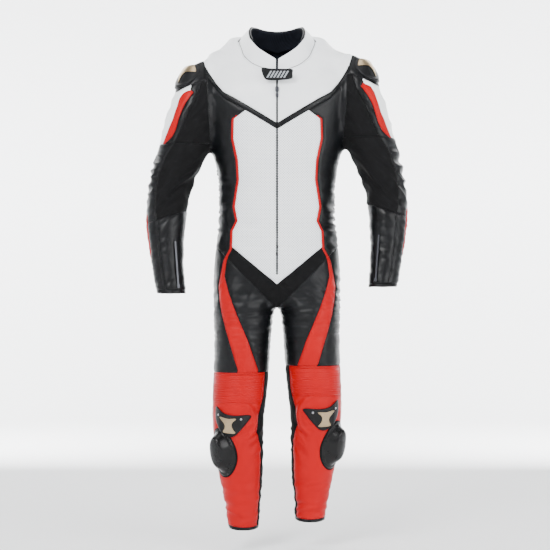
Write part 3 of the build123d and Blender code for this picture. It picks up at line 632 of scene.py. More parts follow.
def cut_all_seams(bm):
    """Cuts the skin along every seam of the pattern, each only in its own zone."""
    def torso_front(points):
        flank = np.abs(points[:, 0]) < ring_at(torso_rings, points[:, 2])[2] + 0.01
        return flank & front_of(points, torso_rings) & ~in_arm(points, "left") & ~in_arm(points, "right")

    def zip_strip(points, reach):
        return front_of(points, torso_rings) & (centre_line(points) < reach)

    seam_cut(bm, neck_inside, lambda p: p[:, 2] > -0.12)
    for side in SIDES:
        arm, leg = arm_rings[side], leg_rings[side]
        seam_cut(bm, lambda p: p[:, 2] - cuff_level(side), lambda p: in_arm(p, side))
        seam_cut(bm, lambda p: p[:, 2] - hem_level(side) - HEM_SLOPE * (p[:, 1] - leg[-1][2]),
                 lambda p: p[:, 2] < -1.2)
        seam_cut(bm, lambda p: p[:, 2] - cuff_level(side) - EDGE_WIDTH, lambda p: in_arm(p, side))
        seam_cut(bm, lambda p: p[:, 2] - hem_level(side) - EDGE_WIDTH - HEM_SLOPE * (p[:, 1] - leg[-1][2]),
                 lambda p: p[:, 2] < -1.2)
        seam_cut(bm, lambda p: beyond_armhole(p, side), lambda p: p[:, 2] > -0.285)
        seam_cut(bm, lambda p: beyond_groin(p, side),
                 lambda p: (np.sign(p[:, 0]) == SIDES[side]) & (p[:, 2] < -0.5) & (centre_line(p) < 0.21))
        z_off = lift(side)

        def arm_zone(p, top, bottom):
            return in_arm(p, side) & (p[:, 2] < top + z_off) & (p[:, 2] > bottom + z_off)

        def arm_line(pattern):
            return lambda p: centre_line(p) - line_at(pattern, p[:, 2] - z_off)

        def facing(p):
            return front_of(p, arm)

        seam_cut(bm, lambda p: p[:, 2] - z_off - white_top(p), lambda p: arm_zone(p, -0.04, -0.16))
        seam_cut(bm, lambda p: centre_line(p) - line_at(YOKE_EDGE, p[:, 2]),
                 lambda p: arm_zone(p, 0.1, -0.09))
        seam_cut(bm, lambda p: p[:, 2] - SLEEVE_BREAK - z_off, lambda p: arm_zone(p, -0.21, -0.30))
        seam_cut(bm, lambda p: p[:, 1] - ring_at(arm, p[:, 2])[1] - 0.004,
                 lambda p: arm_zone(p, 0.0, -0.72) & (np.abs(limb_angle(p, arm, side) + 90) < 50))
        seam_cut(bm, arm_line(STRETCH_EDGE), lambda p: arm_zone(p, -0.02, -0.254) & facing(p))
        seam_cut(bm, arm_line(ELBOW_EDGE), lambda p: arm_zone(p, -0.254, -0.72) & facing(p))
        seam_cut(bm, arm_line(RED_INNER), lambda p: arm_zone(p, -0.103, -0.254) & facing(p))
        seam_cut(bm, arm_line(RED_OUTER), lambda p: arm_zone(p, -0.103, -0.254) & facing(p))

        def above_forearm(p):
            inwards = SIDES[side] * (arm[ELBOW_RING][1] - p[:, 0])
            return p[:, 2] - FOREARM_EDGE_Z - z_off - FOREARM_EDGE_SLOPE * inwards

        seam_cut(bm, above_forearm, lambda p: arm_zone(p, -0.40, -0.52))
        seam_cut(bm, lambda p: np.abs(limb_angle(p, arm, side)) - 165,
                 lambda p: arm_zone(p, -0.02, -0.72) & ~facing(p))
        seam_cut(bm, lambda p: limb_angle(p, arm, side) - line_at(FOREARM_RED, p[:, 2] - z_off),
                 lambda p: arm_zone(p, -0.44, -0.64) & (limb_angle(p, arm, side) < 92))
        seam_cut(bm, lambda p: limb_angle(p, arm, side) - FOREARM_RED_BACK,
                 lambda p: arm_zone(p, -0.44, -0.64))

        def leg_zone(p, top, bottom):
            return in_leg(p, side) & (p[:, 2] < top + z_off) & (p[:, 2] > bottom + z_off)

        def near_angle(p, angle, reach):
            return np.abs(limb_angle(p, leg, side) - angle) < reach

        def leg_front(p):
            return np.abs(limb_angle(p, leg, side)) < THIGH_FRONT_REACH

        seam_cut(bm, lambda p: p[:, 2] - KNEE_SEAM_Z - z_off, lambda p: leg_zone(p, -0.85, -0.94))
        seam_cut(bm, lambda p: centre_line(p) - line_at(STRIPE_INNER, p[:, 2]),
                 lambda p: leg_zone(p, -0.5, KNEE_SEAM_Z) & leg_front(p))
        seam_cut(bm, lambda p: centre_line(p) - line_at(STRIPE_OUTER, p[:, 2]),
                 lambda p: leg_zone(p, -0.5, KNEE_SEAM_Z) & leg_front(p))
        seam_cut(bm, lambda p: limb_angle(p, leg, side) - line_at(SHIN_INNER, p[:, 2] - z_off),
                 lambda p: leg_zone(p, KNEE_SEAM_Z, -1.5) & near_angle(p, -60, 40))
        for height in KNEE_RIBS:
            seam_cut(bm, lambda p: p[:, 2] - height - z_off,
                     lambda p: leg_zone(p, -0.88, -1.0) & near_angle(p, 11, 72))
        for angle in (-58, 80):
            seam_cut(bm, lambda p: limb_angle(p, leg, side) - angle,
                     lambda p: leg_zone(p, *KNEE_RIBS) & near_angle(p, angle, 30))
        seam_cut(bm, lambda p: limb_angle(p, leg, side) - SHIN_BACK,
                 lambda p: leg_zone(p, KNEE_SEAM_Z, -1.5) & near_angle(p, SHIN_BACK, 40))
    seam_cut(bm, lambda p: centre_line(p) - line_at(YOKE_EDGE, p[:, 2]),
             lambda p: torso_front(p) & (p[:, 2] < 0.03) & (p[:, 2] > -0.25))
    seam_cut(bm, lambda p: centre_line(p) - line_at(YOKE_EDGE, p[:, 2] + TRIM_DROP),
             lambda p: torso_front(p) & (p[:, 2] < 0.0) & (p[:, 2] > -0.26))
    seam_cut(bm, lambda p: centre_line(p) - line_at(PANEL_SIDE, p[:, 2]),
             lambda p: torso_front(p) & (p[:, 2] < -0.17) & (p[:, 2] > -0.60))
    seam_cut(bm, lambda p: centre_line(p) - line_at(PANEL_SIDE, p[:, 2]) - PIPING_WIDTH,
             lambda p: torso_front(p) & (p[:, 2] < -0.188) & (p[:, 2] > -0.60))
    seam_cut(bm, lambda p: centre_line(p) - line_at(PANEL_FOOT, p[:, 2]),
             lambda p: torso_front(p) & (p[:, 2] < -0.545) & (p[:, 2] > -0.67))
    seam_cut(bm, lambda p: p[:, 1] - ring_at(torso_rings, p[:, 2])[1],
             lambda p: np.abs(p[:, 1] - ring_at(torso_rings, p[:, 2])[1]) < 0.03)
    for slot_x in (-ZIP_SLOT, ZIP_SLOT):
        seam_cut(bm, lambda p: p[:, 0] - slot_x,
                 lambda p: zip_strip(p, 0.02) & (p[:, 2] < -0.03) & (p[:, 2] > ZIP_END - 0.01))
    seam_cut(bm, lambda p: p[:, 2] - ZIP_END,
             lambda p: zip_strip(p, 0.012) & (np.abs(p[:, 2] - ZIP_END) < 0.02))
    for height in (high("lumbar_stretch_panel")[2], low("lumbar_stretch_panel")[2], BACK_YOKE_Z):
        seam_cut(bm, lambda p: p[:, 2] - height,
                 lambda p: ~torso_front(p) & (centre_line(p) < 0.20) & (np.abs(p[:, 2] - height) < 0.05))


# ---- pieces by face --------------------------------------------------------------------------------
def name_pieces(points):
    """Name of the pattern piece that each face belongs to, from the faces' middles."""
    names = np.full(len(points), "gone", dtype=object)
    width = centre_line(points)
    z = points[:, 2]
    front = front_of(points, torso_rings)
    torso = np.ones(len(points), dtype=bool)
    for side in SIDES:
        arm = in_arm(points, side)
        leg = in_leg(points, side)
        torso &= ~arm & ~leg
        z_off = lift(side)
        level = z - z_off
        angle = limb_angle(points, arm_rings[side], side)
        upper = level > SLEEVE_BREAK
        facing = front_of(points, arm_rings[side])
        on_face = np.where(upper, width > line_at(STRETCH_EDGE, level), width > line_at(ELBOW_EDGE, level))
        inner_back = (angle < -90) & (angle > -165)
        outer = np.where(facing, on_face, ~inner_back)
        inwards = SIDES[side] * (arm_rings[side][ELBOW_RING][1] - points[:, 0])
        stretch_foot = FOREARM_EDGE_Z + FOREARM_EDGE_SLOPE * inwards
        cuff_edge = z < cuff_level(side) + EDGE_WIDTH
        white = level <= white_top(points)

        def put(where, name):
            names[where] = f"{name}_{side}"

        put(arm & upper & ~outer, "upper_sleeve_stretch")
        put(arm & ~white & (outer | (level > -0.08)), "shoulder_base")
        put(arm & ~white & (width < line_at(YOKE_EDGE, z)) & (z > -0.075), "shoulder_white")
        put(arm & upper & outer & white, "sleeve_white")
        put(arm & upper & outer & white & facing & (width < line_at(RED_INNER, level)), "sleeve_strip")
        red = (width > line_at(RED_INNER, level)) & (width < line_at(RED_OUTER, level)) & (level < -0.104)
        put(arm & upper & outer & white & facing & red, "sleeve_red")
        above_edge = level > stretch_foot
        put(arm & ~upper & ~outer & above_edge, "elbow_stretch_front")
        put(arm & ~upper & outer & above_edge, "elbow_leather")
        put(arm & ~upper & ~outer & ~above_edge, "forearm_front")
        put(arm & ~upper & outer & ~above_edge, "forearm_outer")
        in_red = (angle > line_at(FOREARM_RED, level)) & (angle < FOREARM_RED_BACK)
        put(arm & ~upper & (level < -0.440) & (level > -0.640) & in_red, "forearm_red")
        put(arm & cuff_edge, "cuff_edge")
        names[arm & (z < cuff_level(side))] = "gone"

        leg_angle = limb_angle(points, leg_rings[side], side)
        slope = HEM_SLOPE * (points[:, 1] - leg_rings[side][-1][2])
        thigh = leg & (level > KNEE_SEAM_Z)
        facing = np.abs(leg_angle) < THIGH_FRONT_REACH
        put(thigh, "thigh_outer")
        put(thigh & facing & (width < line_at(STRIPE_OUTER, z)), "thigh_stripe")
        put(thigh & facing & (width < line_at(STRIPE_INNER, z)), "thigh_front")
        put(thigh & ~facing, "thigh_back")
        shin = leg & (level <= KNEE_SEAM_Z)
        put(shin, "calf_stretch")
        red_leg = shin & (leg_angle > line_at(SHIN_INNER, level)) & (leg_angle < SHIN_BACK)
        put(red_leg, "knee_and_shin")
        in_ribs = (level < KNEE_RIBS[0]) & (level > KNEE_RIBS[1])
        put(red_leg & in_ribs & (leg_angle > -58) & (leg_angle < 80), "knee_ribs")
        put(leg & (z < hem_level(side) + EDGE_WIDTH + slope), "hem_edge")
        names[leg & (z < hem_level(side) + slope)] = "gone"

    names[torso] = "side_leather"
    names[torso & ~front] = "back_leather"
    panel = torso & front & (width < line_at(PANEL_SIDE, z)) & (z < -0.17)
    names[panel] = "chest_panel"
    past_panel = width - line_at(PANEL_SIDE, z)
    piping = (past_panel >= 0) & (past_panel < PIPING_WIDTH)
    names[torso & front & (z < -0.188) & (z > -0.60) & piping] = "piping"
    past_foot = (width > line_at(PANEL_FOOT, z)) & (width < line_at(PANEL_SIDE, z))
    under_foot = torso & front & (z < -0.545) & past_foot
    names[under_foot | (torso & front & (z < -0.60))] = "groin_stretch"
    names[torso & front & (z < -0.58) & (width < line_at(PANEL_FOOT, z))] = "chest_panel"
    trim = torso & front & (width < line_at(YOKE_EDGE, z + TRIM_DROP)) & (z > -0.26)
    names[trim] = "v_trim"
    names[torso & front & (width < line_at(YOKE_EDGE, z)) & (z > -0.26)] = "yoke"
    back = torso & ~front
    names[back & (z > BACK_YOKE_Z)] = "back_yoke"
    names[back & (z < high("lumbar_stretch_panel")[2]) & (z > low("lumbar_stretch_panel")[2])] = "lumbar"
    names[back & (z <= low("lumbar_stretch_panel")[2])] = "seat"
    names[(neck_inside(points) > 0)] = "gone"
    names[torso & front & (width < ZIP_SLOT) & (z > ZIP_END) & (z < -0.02)] = "gone"
    return names


PIECES = {
    # piece: (material, record slot, CAD nodes it stands for)
    "yoke": (WHITE_HIDE, "white_leather", ["front_yoke"]),
    "v_trim": (BLACK_HIDE, "black_leather", ["chest_v_trim"]),
    "chest_panel": (PUNCHED_HIDE, "white_leather", ["front_panel_left", "front_panel_right"]),
    "piping": (RED_HIDE, "red_leather", []),
    "side_leather": (BLACK_HIDE, "black_leather", ["side_panel_left", "side_panel_right"]),
    "groin_stretch": (STRETCH, "black_stretch", ["crotch_stretch_panel"]),
    "back_yoke": (WHITE_HIDE, "white_leather", []),
    "back_leather": (BLACK_HIDE, "black_leather", ["upper_back_panel"]),
    "lumbar": (BLACK_HIDE, "black_leather", ["lumbar_stretch_panel"]),
    "seat": (BLACK_HIDE, "black_leather", ["seat_panel"]),
}
SIDE_PIECES = {
    "upper_sleeve_stretch": (STRETCH, "black_stretch", ["upper_sleeve_stretch"]),
    "shoulder_base": (BLACK_HIDE, "black_leather", []),
    "shoulder_white": (WHITE_HIDE, "white_leather", []),
    "sleeve_white": (WHITE_HIDE, "white_leather", ["upper_sleeve_leather"]),
    "sleeve_strip": (BLACK_HIDE, "black_leather", []),
    "sleeve_red": (RED_HIDE, "red_leather", []),
    "elbow_stretch_front": (STRETCH, "black_stretch", ["elbow_stretch"]),
    "elbow_leather": (BLACK_HIDE, "black_leather", []),
    "forearm_front": (BLACK_HIDE, "black_leather", ["forearm_front"]),
    "forearm_outer": (BLACK_HIDE, "black_leather", ["forearm_leather"]),
    "forearm_red": (RED_HIDE, "red_leather", []),
    "cuff_edge": (BLACK_HIDE, "black_leather", ["cuff_binding"]),
    "thigh_front": (BLACK_HIDE, "black_leather", ["thigh_front"]),
    "thigh_stripe": (RED_HIDE, "red_leather", []),
    "thigh_outer": (BLACK_HIDE, "black_leather", []),
    "thigh_back": (BLACK_HIDE, "black_leather", ["thigh_back"]),
    "knee_ribs": (RED_HIDE, "red_leather", ["knee_accordion"]),
    "knee_and_shin": (RED_HIDE, "red_leather", ["shin_front"]),
    "calf_stretch": (STRETCH, "black_stretch", ["calf_panel", "knee_back_stretch"]),
    "hem_edge": (BLACK_HIDE, "black_leather", ["hem_binding"]),
}


def ride_or_blend(item, piece, side):
    """Puts each piece on its body; a piece that crosses a joint is only baked in place and rides on no body.
    """
    if piece in PIECES:
        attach(item, "torso")
        return
    if piece in ("upper_sleeve_stretch", "shoulder_base", "shoulder_white", "sleeve_white", "sleeve_strip",
                 "sleeve_red"):
        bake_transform(item)
    elif piece in ("elbow_stretch_front", "elbow_leather"):
        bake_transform(item)
    elif piece in ("forearm_front", "forearm_outer", "forearm_red", "cuff_edge"):
        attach(item, f"forearm_{side}")
    elif piece.startswith("thigh"):
        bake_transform(item)
    elif piece in ("knee_ribs", "knee_and_shin", "calf_stretch"):
        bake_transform(item)
    else:
        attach(item, f"shin_{side}")


# ---- folds ---------------------------------------------------------------------------------------
def ridged(points, stretch, seed):
    """Ridged noise at each point, up to 1 on sharp folds, which run long where the stretch is small."""
    shift = Vector((seed * 7.3, seed * 3.1, seed * 5.7))
    warp = np.array([noise.noise(Vector(p * 14) + shift) for p in points])
    scaled = points * np.array(stretch) + warp[:, None] * 0.35
    return np.array([1 - abs(noise.noise(Vector(p) + shift)) * 2.2 for p in scaled])


def knee_ring(points, side):
    """Padded roll sewn round the inner and lower side of the knee cup, with a groove outside it."""
    middle = box_middle(f"knee_cup_{side}")
    across = (points[:, 0] - middle[0]) * -SIDES[side]
    up = points[:, 2] - middle[2]
    ring = np.hypot(across / 0.052, up / 0.044)
    turn = np.degrees(np.arctan2(up, across))
    share = smoothstep(-130, -95, turn) * (1 - smoothstep(35, 65, turn))
    return share * (0.0042 * bump_at(ring, 1.36, 0.11) - 0.0022 * bump_at(ring, 1.62, 0.07))


def fold_heights(points):
    """How far each point of the skin moves out, in metres: folds where the suit bends, creases elsewhere."""
    z = points[:, 2]
    width = centre_line(points)
    height = np.zeros(len(points))
    slope_down = points.copy()
    slope_down[:, 2] += width * 0.9
    across = ridged(points, (9, 9, 44), 1.0)
    slanted = ridged(slope_down, (12, 12, 34), 2.0)
    fine = ridged(points, (7, 7, 100), 3.0)
    rumple = np.array([noise.noise(Vector(p * 30)) + 0.5 * noise.noise(Vector(p * 68)) for p in points])
    height += rumple * 0.0006
    for side in SIDES:
        arm, leg = in_arm(points, side), in_leg(points, side)
        angle = limb_angle(points, arm_rings[side], side)
        level = z - lift(side)
        facing_elbow = 0.5 + 0.5 * bump_at(angle, -30, 90)
        height += arm * bump_at(level, -0.375, 0.075) * facing_elbow * (slanted - 0.5) * 0.0085
        height += arm * bump_at(level, -0.33, 0.06) * smoothstep(10, 50, angle) * (across - 0.4) * 0.0085
        height += arm * bump_at(level, -0.17, 0.08) * (slanted - 0.5) * 0.0035
        height += arm * smoothstep(-0.44, -0.48, level) * (fine - 0.5) * 0.0011
        height += arm * smoothstep(-0.44, -0.50, level) * (slanted - 0.5) * 0.0014
        leg_angle = limb_angle(points, leg_rings[side], side)
        height += leg * bump_at(level, -0.75, 0.10) * (fine - 0.5) * 0.0030
        height += leg * bump_at(level, -0.69, 0.06) * (slanted - 0.5) * 0.0030
        behind = smoothstep(70, 150, np.abs(leg_angle))
        height += leg * bump_at(level, -0.97, 0.07) * behind * (across - 0.5) * 0.010
        height += leg * bump_at(level, -1.10, 0.06) * (slanted - 0.5) * 0.0045
        height += leg * bump_at(level, -1.27, 0.07) * (across - 0.5) * 0.0035
        height += leg * (np.abs(leg_angle) < 90) * knee_ring(points, side)
    torso = ~(in_arm(points, "left") | in_arm(points, "right") | in_leg(points, "left")
              | in_leg(points, "right"))
    height += torso * smoothstep(0.115, 0.15, width) * bump_at(z, -0.45, 0.15) * (across - 0.5) * 0.0042
    height += torso * bump_at(z, -0.53, 0.10) * (across - 0.5) * 0.0022
    height += torso * bump_at(z, -0.67, 0.05) * (slanted - 0.5) * 0.004
    for side in SIDES:
        for node, reach in ((f"knee_slider_{side}", 0.072), (f"shoulder_cup_{side}", 0.060)):
            away = np.linalg.norm(points - np.array(box_middle(node)), axis=1)
            height *= smoothstep(reach, reach * 1.35, away)
    return height


def shape_skin(skin):
    points = coordinates(skin.data)
    normals = np.empty(len(points) * 3)
    skin.data.vertices.foreach_get("normal", normals)
    normals = normals.reshape(-1, 3)
    raised = bump_at(centre_line(points), 0.196, 0.030) * smoothstep(-0.11, -0.02, points[:, 2])
    moved = points + normals * fold_heights(points)[:, None]
    moved[:, 2] += raised * 0.019
    skin.data.vertices.foreach_set("co", moved.ravel())
    skin.data.update()


# ---- stitching ---------------------------------------------------------------------------------------
STITCH_IN = 3.4 * MM         # from the seam to the row of stitches
THREADS = {"yoke": WHITE_THREAD, "chest_panel": WHITE_THREAD, "sleeve_white": WHITE_THREAD,
           "shoulder_white": WHITE_THREAD, "back_yoke": WHITE_THREAD,
           "knee_and_shin": RED_THREAD, "sleeve_red": RED_THREAD, "thigh_stripe": RED_THREAD}
UNSTITCHED = {"piping", "upper_sleeve_stretch", "elbow_stretch_front", "groin_stretch", "calf_stretch",
              "forearm_red", "cuff_edge", "hem_edge"}


def split_name(name):
    """A piece's plain name and its side, or None for a piece on the middle."""
    base, _, side = name.rpartition("_")
    return (base, side) if side in SIDES else (name, None)


def stitch_rows(bm, names, tree):
    """Raised threads just inside every seam: points and faces of them for each stitched piece."""
    rows = {}
    for edge in bm.edges:
        if len(edge.link_faces) != 2:
            continue
        length = edge.calc_length()
        if names[edge.link_faces[0].index] == names[edge.link_faces[1].index] or length < 1.1 * MM:
            continue
        middle = (edge.verts[0].co + edge.verts[1].co) / 2
        along = (edge.verts[1].co - edge.verts[0].co).normalized()
        for face in edge.link_faces:
            name = names[face.index]
            if name == "gone" or split_name(name)[0] in UNSTITCHED:
                continue
            inward = face.normal.cross(along)
            if inward.dot(face.calc_center_median() - middle) < 0:
                inward.negate()
            spot, normal, _, _ = tree.find_nearest(middle + inward * STITCH_IN)
            half = along * min(length * 0.38, 1.5 * MM)
            beside = along.cross(normal).normalized() * 0.45 * MM
            points, faces = rows.setdefault(name, ([], []))
            n = len(points)
            sunk, raised = normal * -0.2 * MM, normal * 0.5 * MM
            points += [spot - half - beside + sunk, spot - half + beside + sunk,
                       spot + half + beside + sunk, spot + half - beside + sunk,
                       spot - half * 0.7 + raised, spot + half * 0.7 + raised]
            faces += [(n, n + 4, n + 5, n + 3), (n + 1, n + 2, n + 5, n + 4), (n, n + 1, n + 4),
                      (n + 2, n + 3, n + 5)]
    return rows


def add_faces(item, points, faces, material):
    """Adds loose faces of one material to a finished piece."""
    item.data.materials.append(material)
    slot = len(item.data.materials) - 1
    bm = bmesh.new()
    bm.from_mesh(item.data)
    made = [bm.verts.new(point) for point in points]
    for face in faces:
        bm.faces.new([made[i] for i in face]).material_index = slot
    bm.normal_update()
    bm.to_mesh(item.data)
    bm.free()


# ---- build the suit --------------------------------------------------------------------------------
def ribbed(bm, pitch, height, across):
    """Cuts a pleated panel finely and folds it into level pleats of one pitch."""
    bmesh.ops.triangulate(bm, faces=bm.faces[:])
    long_edges = [e for e in bm.edges if e.calc_length() > 2.2 * MM]
    bmesh.ops.subdivide_edges(bm, edges=long_edges, cuts=2, use_grid_fill=True)
    bm.normal_update()
    levels = [v.co.z for v in bm.verts]
    top, bottom = max(levels), min(levels)
    rims = KDTree(sum(v.is_boundary for v in bm.verts))
    for index, vertex in enumerate(v for v in bm.verts if v.is_boundary):
        rims.insert(vertex.co, index)
    rims.balance()
    count = max(1, round((top - bottom) / pitch))
    for vertex in bm.verts:
        distance = rims.find(vertex.co)[2]
        share = min(1.0, distance / across)
        phase = (vertex.co.z - bottom) / (top - bottom) * count
        vertex.co += vertex.normal * share * height * (abs(math.sin(math.pi * phase)) ** 0.7 - 0.5)


def build_skin_pieces():
    """Makes every sewn piece, and gives the smooth skin for laying armour on and the neck seam's points."""
    skin = sewn_skin()
    modify(skin, "SUBSURF", levels=1, render_levels=1)
    apply_modifiers(skin)
    plain = bmesh.new()
    plain.from_mesh(skin.data)
    smooth_tree = BVHTree.FromBMesh(plain)
    plain.free()
    shape_skin(skin)
    bm = bmesh.new()
    bm.from_mesh(skin.data)
    cut_all_seams(bm)
    bm.faces.index_update()
    middles = np.array([f.calc_center_median()[:] for f in bm.faces])
    names = name_pieces(middles)
    seam_points, neck = [], []
    for vertex in bm.verts:
        around = {names[f.index] for f in vertex.link_faces}
        if len(around) > 1:
            seam_points.append(vertex.co.copy())
            if "gone" in around and vertex.co.z > -0.10 and abs(vertex.co.x) > ZIP_SLOT * 1.5:
                neck.append(vertex.co[:])
    tree = KDTree(len(seam_points))
    for index, point in enumerate(seam_points):
        tree.insert(point, index)
    tree.balance()
    bm.normal_update()
    moves = []
    for vertex in bm.verts:
        distance = tree.find(vertex.co)[2]
        if distance < SEAM_REACH * 2:
            moves.append((vertex, vertex.normal * (-SEAM_DEPTH * math.exp(-(distance / SEAM_REACH) ** 2))))
    for vertex, move in moves:
        vertex.co += move
    bm.normal_update()
    skin_tree = BVHTree.FromBMesh(bm)
    rows = stitch_rows(bm, names, skin_tree)
    groups = {}
    for face, name in zip(bm.faces, names):
        if name != "gone":
            groups.setdefault(name, []).append(face)
    for name, faces in groups.items():
        index_of, vertices, polygons = {}, [], []
        for face in faces:
            polygon = []
            for vertex in face.verts:
                if vertex not in index_of:
                    index_of[vertex] = len(vertices)
                    vertices.append(vertex.co[:])
                polygon.append(index_of[vertex])
            polygons.append(polygon)
        base, side = split_name(name)
        material, slot, nodes = SIDE_PIECES[base] if side else PIECES[base]
        item = new_object(f"suit_{name}", vertices, polygons, material)
        if base in PLEATED:
            pleats = bmesh.new()
            pleats.from_mesh(item.data)
            ribbed(pleats, *PLEATED[base])
            pleats.to_mesh(item.data)
            pleats.free()
        item.data.materials.append(LINING)
        modify(item, "SOLIDIFY", thickness=LEATHER, offset=-1.0, material_offset=1, use_rim=True)
        apply_modifiers(item)
        item.data.shade_smooth()
        if name in rows:
            add_faces(item, *rows[name], THREADS.get(base, BLACK_THREAD))
        stands_for = [f"{node}_{side}" for node in nodes] if side else nodes
        if stands_for:
            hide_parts(*stands_for)
        ride_or_blend(item, base, side)
    bm.free()
    bpy.data.objects.remove(skin)
    return smooth_tree, np.array(neck)


PLEATED = {"knee_ribs": (6.6 * MM, 1.9 * MM, 6 * MM), "lumbar": (11 * MM, 4.0 * MM, 9 * MM)}
smooth_tree, neck_seam = build_skin_pieces()


# ---- raised pieces: armour, plates, sliders, tab -------------------------------------------------------
def smooth_outline(corners, count):
    """Closed smooth curve through corner points, as evenly spread points."""
    p = np.array(corners, dtype=float)
    t = np.linspace(0, len(p), count, endpoint=False)
    i = t.astype(int)
    f = (t - i)[:, None]
    p0, p1, p2, p3 = (p[(i + k) % len(p)] for k in (-1, 0, 1, 2))
    square = (2 * p0 - 5 * p1 + 4 * p2 - p3) * f ** 2
    cube = (3 * p1 - p0 - 3 * p2 + p3) * f ** 3
    return 0.5 * (2 * p1 + (p2 - p0) * f + square + cube)


def ground_at(point, outward, tree):
    if tree is None:
        return point
    hit = tree.ray_cast(point + outward * 0.09, -outward, 0.25)[0]
    if hit is None:
        hit = tree.find_nearest(point)[0]
    return hit


def raised_piece(name, centre, outward, outline, height, material, tree=None, rounding=2.0 * MM, rings=15,
                 spokes=96, sink=2.5 * MM):
    """Solid piece lying on the skin, with a rounded rim.

    The outline is in metres across and up from its centre, and height gives the face above the skin.
    """
    outward = Vector(outward).normalized()
    across = Vector((0, 0, 1)).cross(outward).normalized()
    up = outward.cross(across)
    edge = smooth_outline(outline, spokes)
    reaches = 1 - (1 - np.linspace(0, 1, rings)) ** 1.7
    vertices = []
    for reach in reaches:
        fall = rounding * (1 - math.sqrt(max(0.0, 1 - max(0.0, (reach - 0.86) / 0.14) ** 2)))
        for u, v in edge * reach:
            spot = centre + across * u + up * v
            vertices.append(ground_at(spot, outward, tree) + outward * (height(u, v) - fall))
    for u, v in edge:
        spot = centre + across * u + up * v
        vertices.append(ground_at(spot, outward, tree) - outward * sink)
    rows = rings + 1
    faces = []
    for row in range(rows - 1):
        for k in range(spokes):
            n = (k + 1) % spokes
            faces.append((row * spokes + k, (row + 1) * spokes + k, (row + 1) * spokes + n,
                          row * spokes + n))
    faces.append(tuple(reversed(range((rows - 1) * spokes, rows * spokes))))
    item = new_object(name, vertices, faces, material)
    bm = bmesh.new()
    bm.from_mesh(item.data)
    bmesh.ops.remove_doubles(bm, verts=bm.verts, dist=1e-6)
    bmesh.ops.recalc_face_normals(bm, faces=bm.faces)
    bm.to_mesh(item.data)
    bm.free()
    item.data.shade_smooth()
    return item


def mirrored(outline, side):
    """Outlines are drawn for the wearer's left, where outwards is to the right."""
    return [(u * SIDES[side], v) for u, v in outline]


def place(item, body, slot, *nodes):
    if nodes:
        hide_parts(*nodes)
    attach(item, body)
    return item


def screw(name, spot, outward, body, radius=3.2 * MM):
    """Domed screw head with a round socket, modelled as one turned piece."""
    rings = [(0.0, 1.0), (0.42, 1.0), (0.45, 1.9), (0.62, 2.1), (0.85, 1.7), (1.0, 0.9), (1.0, -1.5)]
    outward = Vector(outward).normalized()
    side_way = Vector((0, 0, 1)).cross(outward).normalized()
    up = outward.cross(side_way)
    vertices, faces, count = [], [], 24
    for reach, level in rings:
        for k in range(count):
            turn = math.tau * k / count
            around = side_way * math.cos(turn) + up * math.sin(turn)
            vertices.append(spot + around * radius * reach + outward * level * MM)
    for row in range(len(rings) - 1):
        for k in range(count):
            n = (k + 1) % count
            faces.append((row * count + k, (row + 1) * count + k, (row + 1) * count + n, row * count + n))
    return place(new_object(name, vertices, faces, SCREW), body, "zip_metal")


KNEE_CUP = [(0.045, 0.043), (0.017, 0.025), (-0.012, 0.019), (-0.055, 0.019), (-0.046, -0.001),
            (-0.037, -0.014), (-0.014, -0.038),
            (0.004, -0.042), (0.024, -0.031), (0.038, -0.014), (0.047, 0.012)]
KNEE_PLATE = [(0.030, 0.015), (0.004, 0.010), (-0.020, 0.010), (-0.011, 0.000), (-0.008, -0.008),
              (-0.011, -0.020), (-0.017, -0.030),
              (0.000, -0.031), (0.019, -0.028), (0.013, -0.016), (0.014, -0.004)]
PUCK_SHAPE = [(-0.004, 0.066), (0.022, 0.056), (0.038, 0.024), (0.042, -0.012), (0.034, -0.044),
              (0.012, -0.066), (-0.012, -0.066),
              (-0.032, -0.044), (-0.042, -0.008), (-0.038, 0.028), (-0.024, 0.056)]
SHOULDER_CUP = [(-0.004, 0.046), (0.030, 0.038), (0.052, 0.004), (0.050, -0.034), (0.014, -0.046),
                (-0.022, -0.036), (-0.036, -0.014),
                (-0.036, 0.014), (-0.024, 0.038)]
CRESCENT = [(-0.012, 0.029), (0.010, 0.020), (0.019, -0.002), (0.010, -0.031), (0.004, -0.012),
            (-0.005, 0.001), (-0.015, 0.006),
            (-0.032, 0.005), (-0.025, 0.019)]


def knee_armour(side):
    s = SIDES[side]
    body = f"shin_{side}"
    middle = box_middle(f"knee_cup_{side}")
    outward = Vector((s * 0.28, -0.96, 0.0))
    centre = ground_at(middle, outward, smooth_tree)

    def shell(u, v):
        dome = 0.0085 - 1.6 * (u * u + v * v)
        ridge = 0.0016 * math.exp(-((abs(u * s + 0.002) - 0.030) / 0.005) ** 2)
        hollow = 0.0014 * math.exp(-((abs(u * s + 0.002) - 0.021) / 0.004) ** 2)
        return dome + ridge - hollow

    cup = raised_piece(f"knee_cup_shell_{side}", centre, outward, mirrored(KNEE_CUP, side), shell,
                       CUP_SHELL, smooth_tree, rounding=4 * MM)
    place(cup, body, "cup_plastic", f"knee_cup_{side}")

    def plate_face(u, v):
        return 0.0102 - 1.6 * (u * u + v * v)

    plate = raised_piece(f"knee_cup_plate_{side}", centre, outward, mirrored(KNEE_PLATE, side), plate_face,
                         BRONZE, smooth_tree, rounding=0.9 * MM, sink=-4 * MM)
    place(plate, body, "bronze_metal", f"knee_plate_{side}")
    for index, (u, v) in enumerate(((0.036, 0.020), (-0.036, 0.009))):
        spot = centre + Vector((s * u * 0.96, 0.0, v))
        spot = ground_at(spot, outward, smooth_tree) + outward * (shell(u * s, v) + 0.0002)
        screw(f"knee_screw_{index}_{side}", spot, outward, body)


